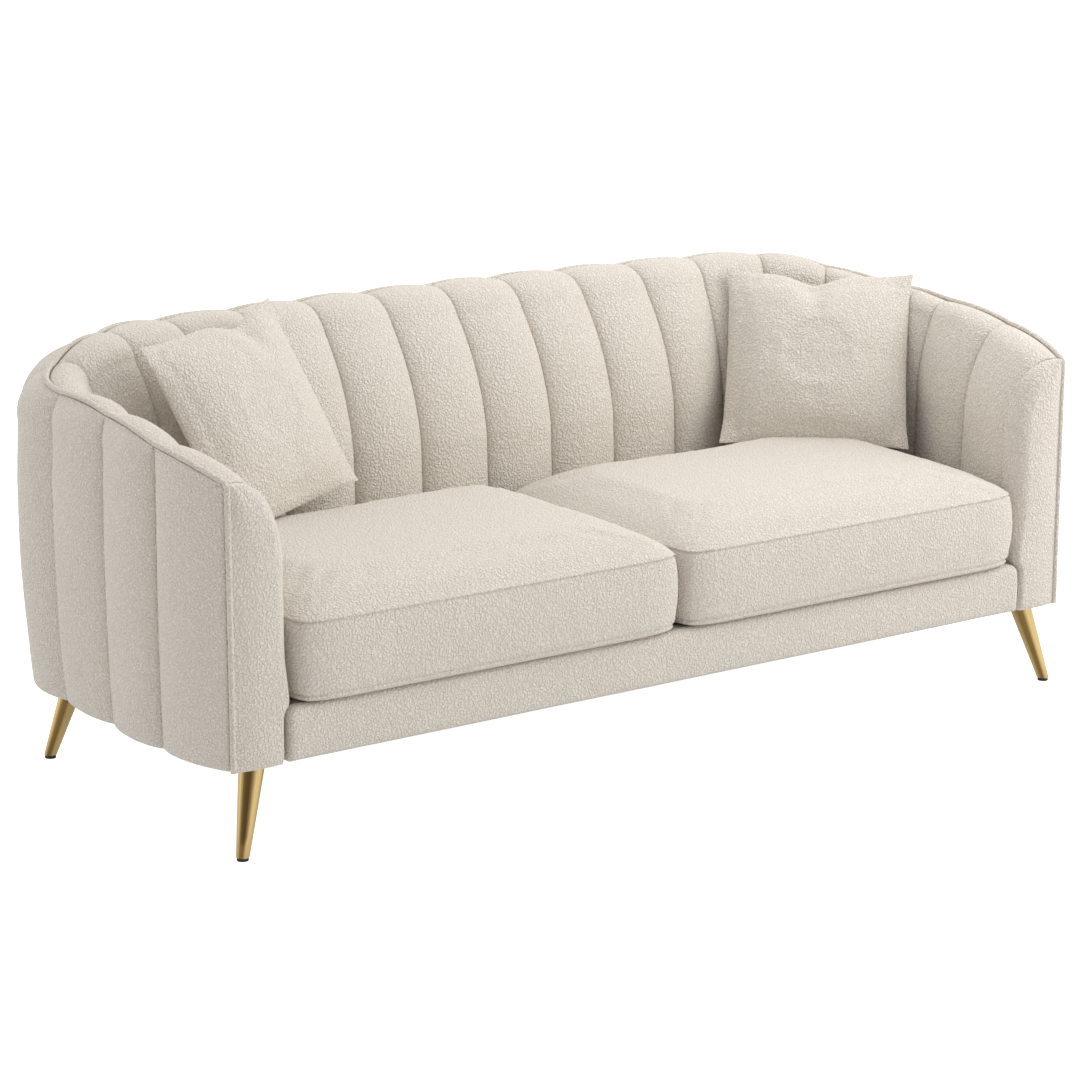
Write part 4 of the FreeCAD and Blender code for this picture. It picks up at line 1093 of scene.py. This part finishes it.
plate_black = streaked(
    "plate_black", (0.035, 0.035, 0.036), (0.07, 0.07, 0.072), 0.45, (8, 8, 8), 30.0, 0.0002
)
for end in ("front", "rear"):
    for hand in ("left", "right"):
        node = "leg_%s_%s" % (end, hand)
        foot, head = leg_ends(node, end, hand)
        dress(leg_mesh("turned_" + node, foot, head), "sofa", node)
        finish_node("leg_plate_%s_%s" % (end, hand), plate_black)

glide_black = streaked(
    "glide_black", (0.018, 0.018, 0.018), (0.035, 0.035, 0.035), 0.6, (8, 8, 8), 60.0, 0.0002
)
screw_zinc = streaked(
    "screw_zinc", (0.42, 0.42, 0.44), (0.66, 0.66, 0.69), 0.35, (10, 10, 10), 40.0, 0.0001, 1.0
)
finish_node("leg_glides", glide_black)
finish_node("leg_screws", screw_zinc)


# Dust cover
# Thin black non-woven cloth that closes the frame from below, stapled to the
# underside of the rails all round.
dust_cloth = streaked(
    "dust_cloth", (0.022, 0.022, 0.024), (0.055, 0.055, 0.058), 0.95, (1, 1, 1), 700.0, 0.0006
)
finish_node("dust_cover", dust_cloth)


# Floor and light
# A white studio: a pale floor that runs out of sight, and a white surround with
# broad soft lights above and at the sides. The floor glows a little, and more so
# where the camera sees it straight.
FLOOR_GLOW = 0.272
FLOOR_LIT = 0.78
FLOOR_HALF = 90.0
floor_white, floor_shader = new_material("floor_white", (0.60, 0.60, 0.60), 0.8)
floor_shader.inputs["Emission Color"].default_value = (1, 1, 1, 1)
seen = add_node(floor_white, "LightPath").outputs["Is Camera Ray"]
lit = add_node(floor_white, "Math", {0: seen, 1: FLOOR_LIT, 2: FLOOR_GLOW}, operation="MULTIPLY_ADD")
floor_white.node_tree.links.new(lit.outputs[0], floor_shader.inputs["Emission Strength"])
floor_data = bpy.data.meshes.new("floor")
floor_corners = [(x * FLOOR_HALF, y * FLOOR_HALF, 0) for x, y in ((-1, -1), (1, -1), (1, 1), (-1, 1))]
floor_data.from_pydata(floor_corners, [], [(0, 1, 2, 3)])
floor_data.materials.append(floor_white)
floor = bpy.data.objects.new("floor", floor_data)
scene.collection.objects.link(floor)
floor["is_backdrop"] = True

# The surround's even light, then each broad lobe of it: where it comes from, how
# narrow it is, how strong.
STUDIO_EVEN = 0.305
STUDIO_LIGHTS = (
    ((-0.814, 0.581, 0.5), 3.0, 0.539),
    ((0.814, -0.581, 0.5), 3.0, 1.297),
    ((-0.233, 1.395, 0.7), 3.0, 1.307),
)
world = bpy.data.worlds.new("studio")
world.use_nodes = True
scene.world = world
way_out = add_node(world, "TexCoord").outputs["Generated"]
glow = STUDIO_EVEN
for way, narrow, strength in STUDIO_LIGHTS:
    facing = add_node(
        world, "VectorMath", {0: way_out, 1: Vector(way).normalized()}, operation="DOT_PRODUCT"
    )
    ahead = add_node(world, "Math", {0: facing.outputs["Value"], 1: 0.0}, operation="MAXIMUM")
    beam = add_node(world, "Math", {0: ahead.outputs[0], 1: narrow}, operation="POWER")
    added = add_node(world, "Math", {0: beam.outputs[0], 1: strength, 2: glow}, operation="MULTIPLY_ADD")
    glow = added.outputs[0]
background = world.node_tree.nodes["Background"]
background.inputs["Color"].default_value = (1, 1, 1, 1)
world.node_tree.links.new(glow, background.inputs["Strength"])

# Square soft boxes, all aimed at the seat: place, width and power.
SOFT_BOXES = (
    ("right_box", (2.2, -1.6, 2.2), 1.6, 30.4),
    ("top_box", (0.5, -0.1, 2.7), 2.2, 14.0),
    ("front_box", (1.7, -2.8, 1.3), 1.4, 2.6),
)
AIM = Vector((0.2, 0, 0.45))
for name, place, size, power in SOFT_BOXES:
    data = bpy.data.lights.new(name, "AREA")
    data.size = size
    data.energy = power
    lamp = bpy.data.objects.new(name, data)
    scene.collection.objects.link(lamp)
    lamp.location = place
    lamp.rotation_mode = "QUATERNION"
    lamp.rotation_quaternion = (AIM - Vector(place)).to_track_quat("-Z", "Y")
scene.view_settings.view_transform = "Standard"
scene.view_settings.look = "None"

low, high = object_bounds()
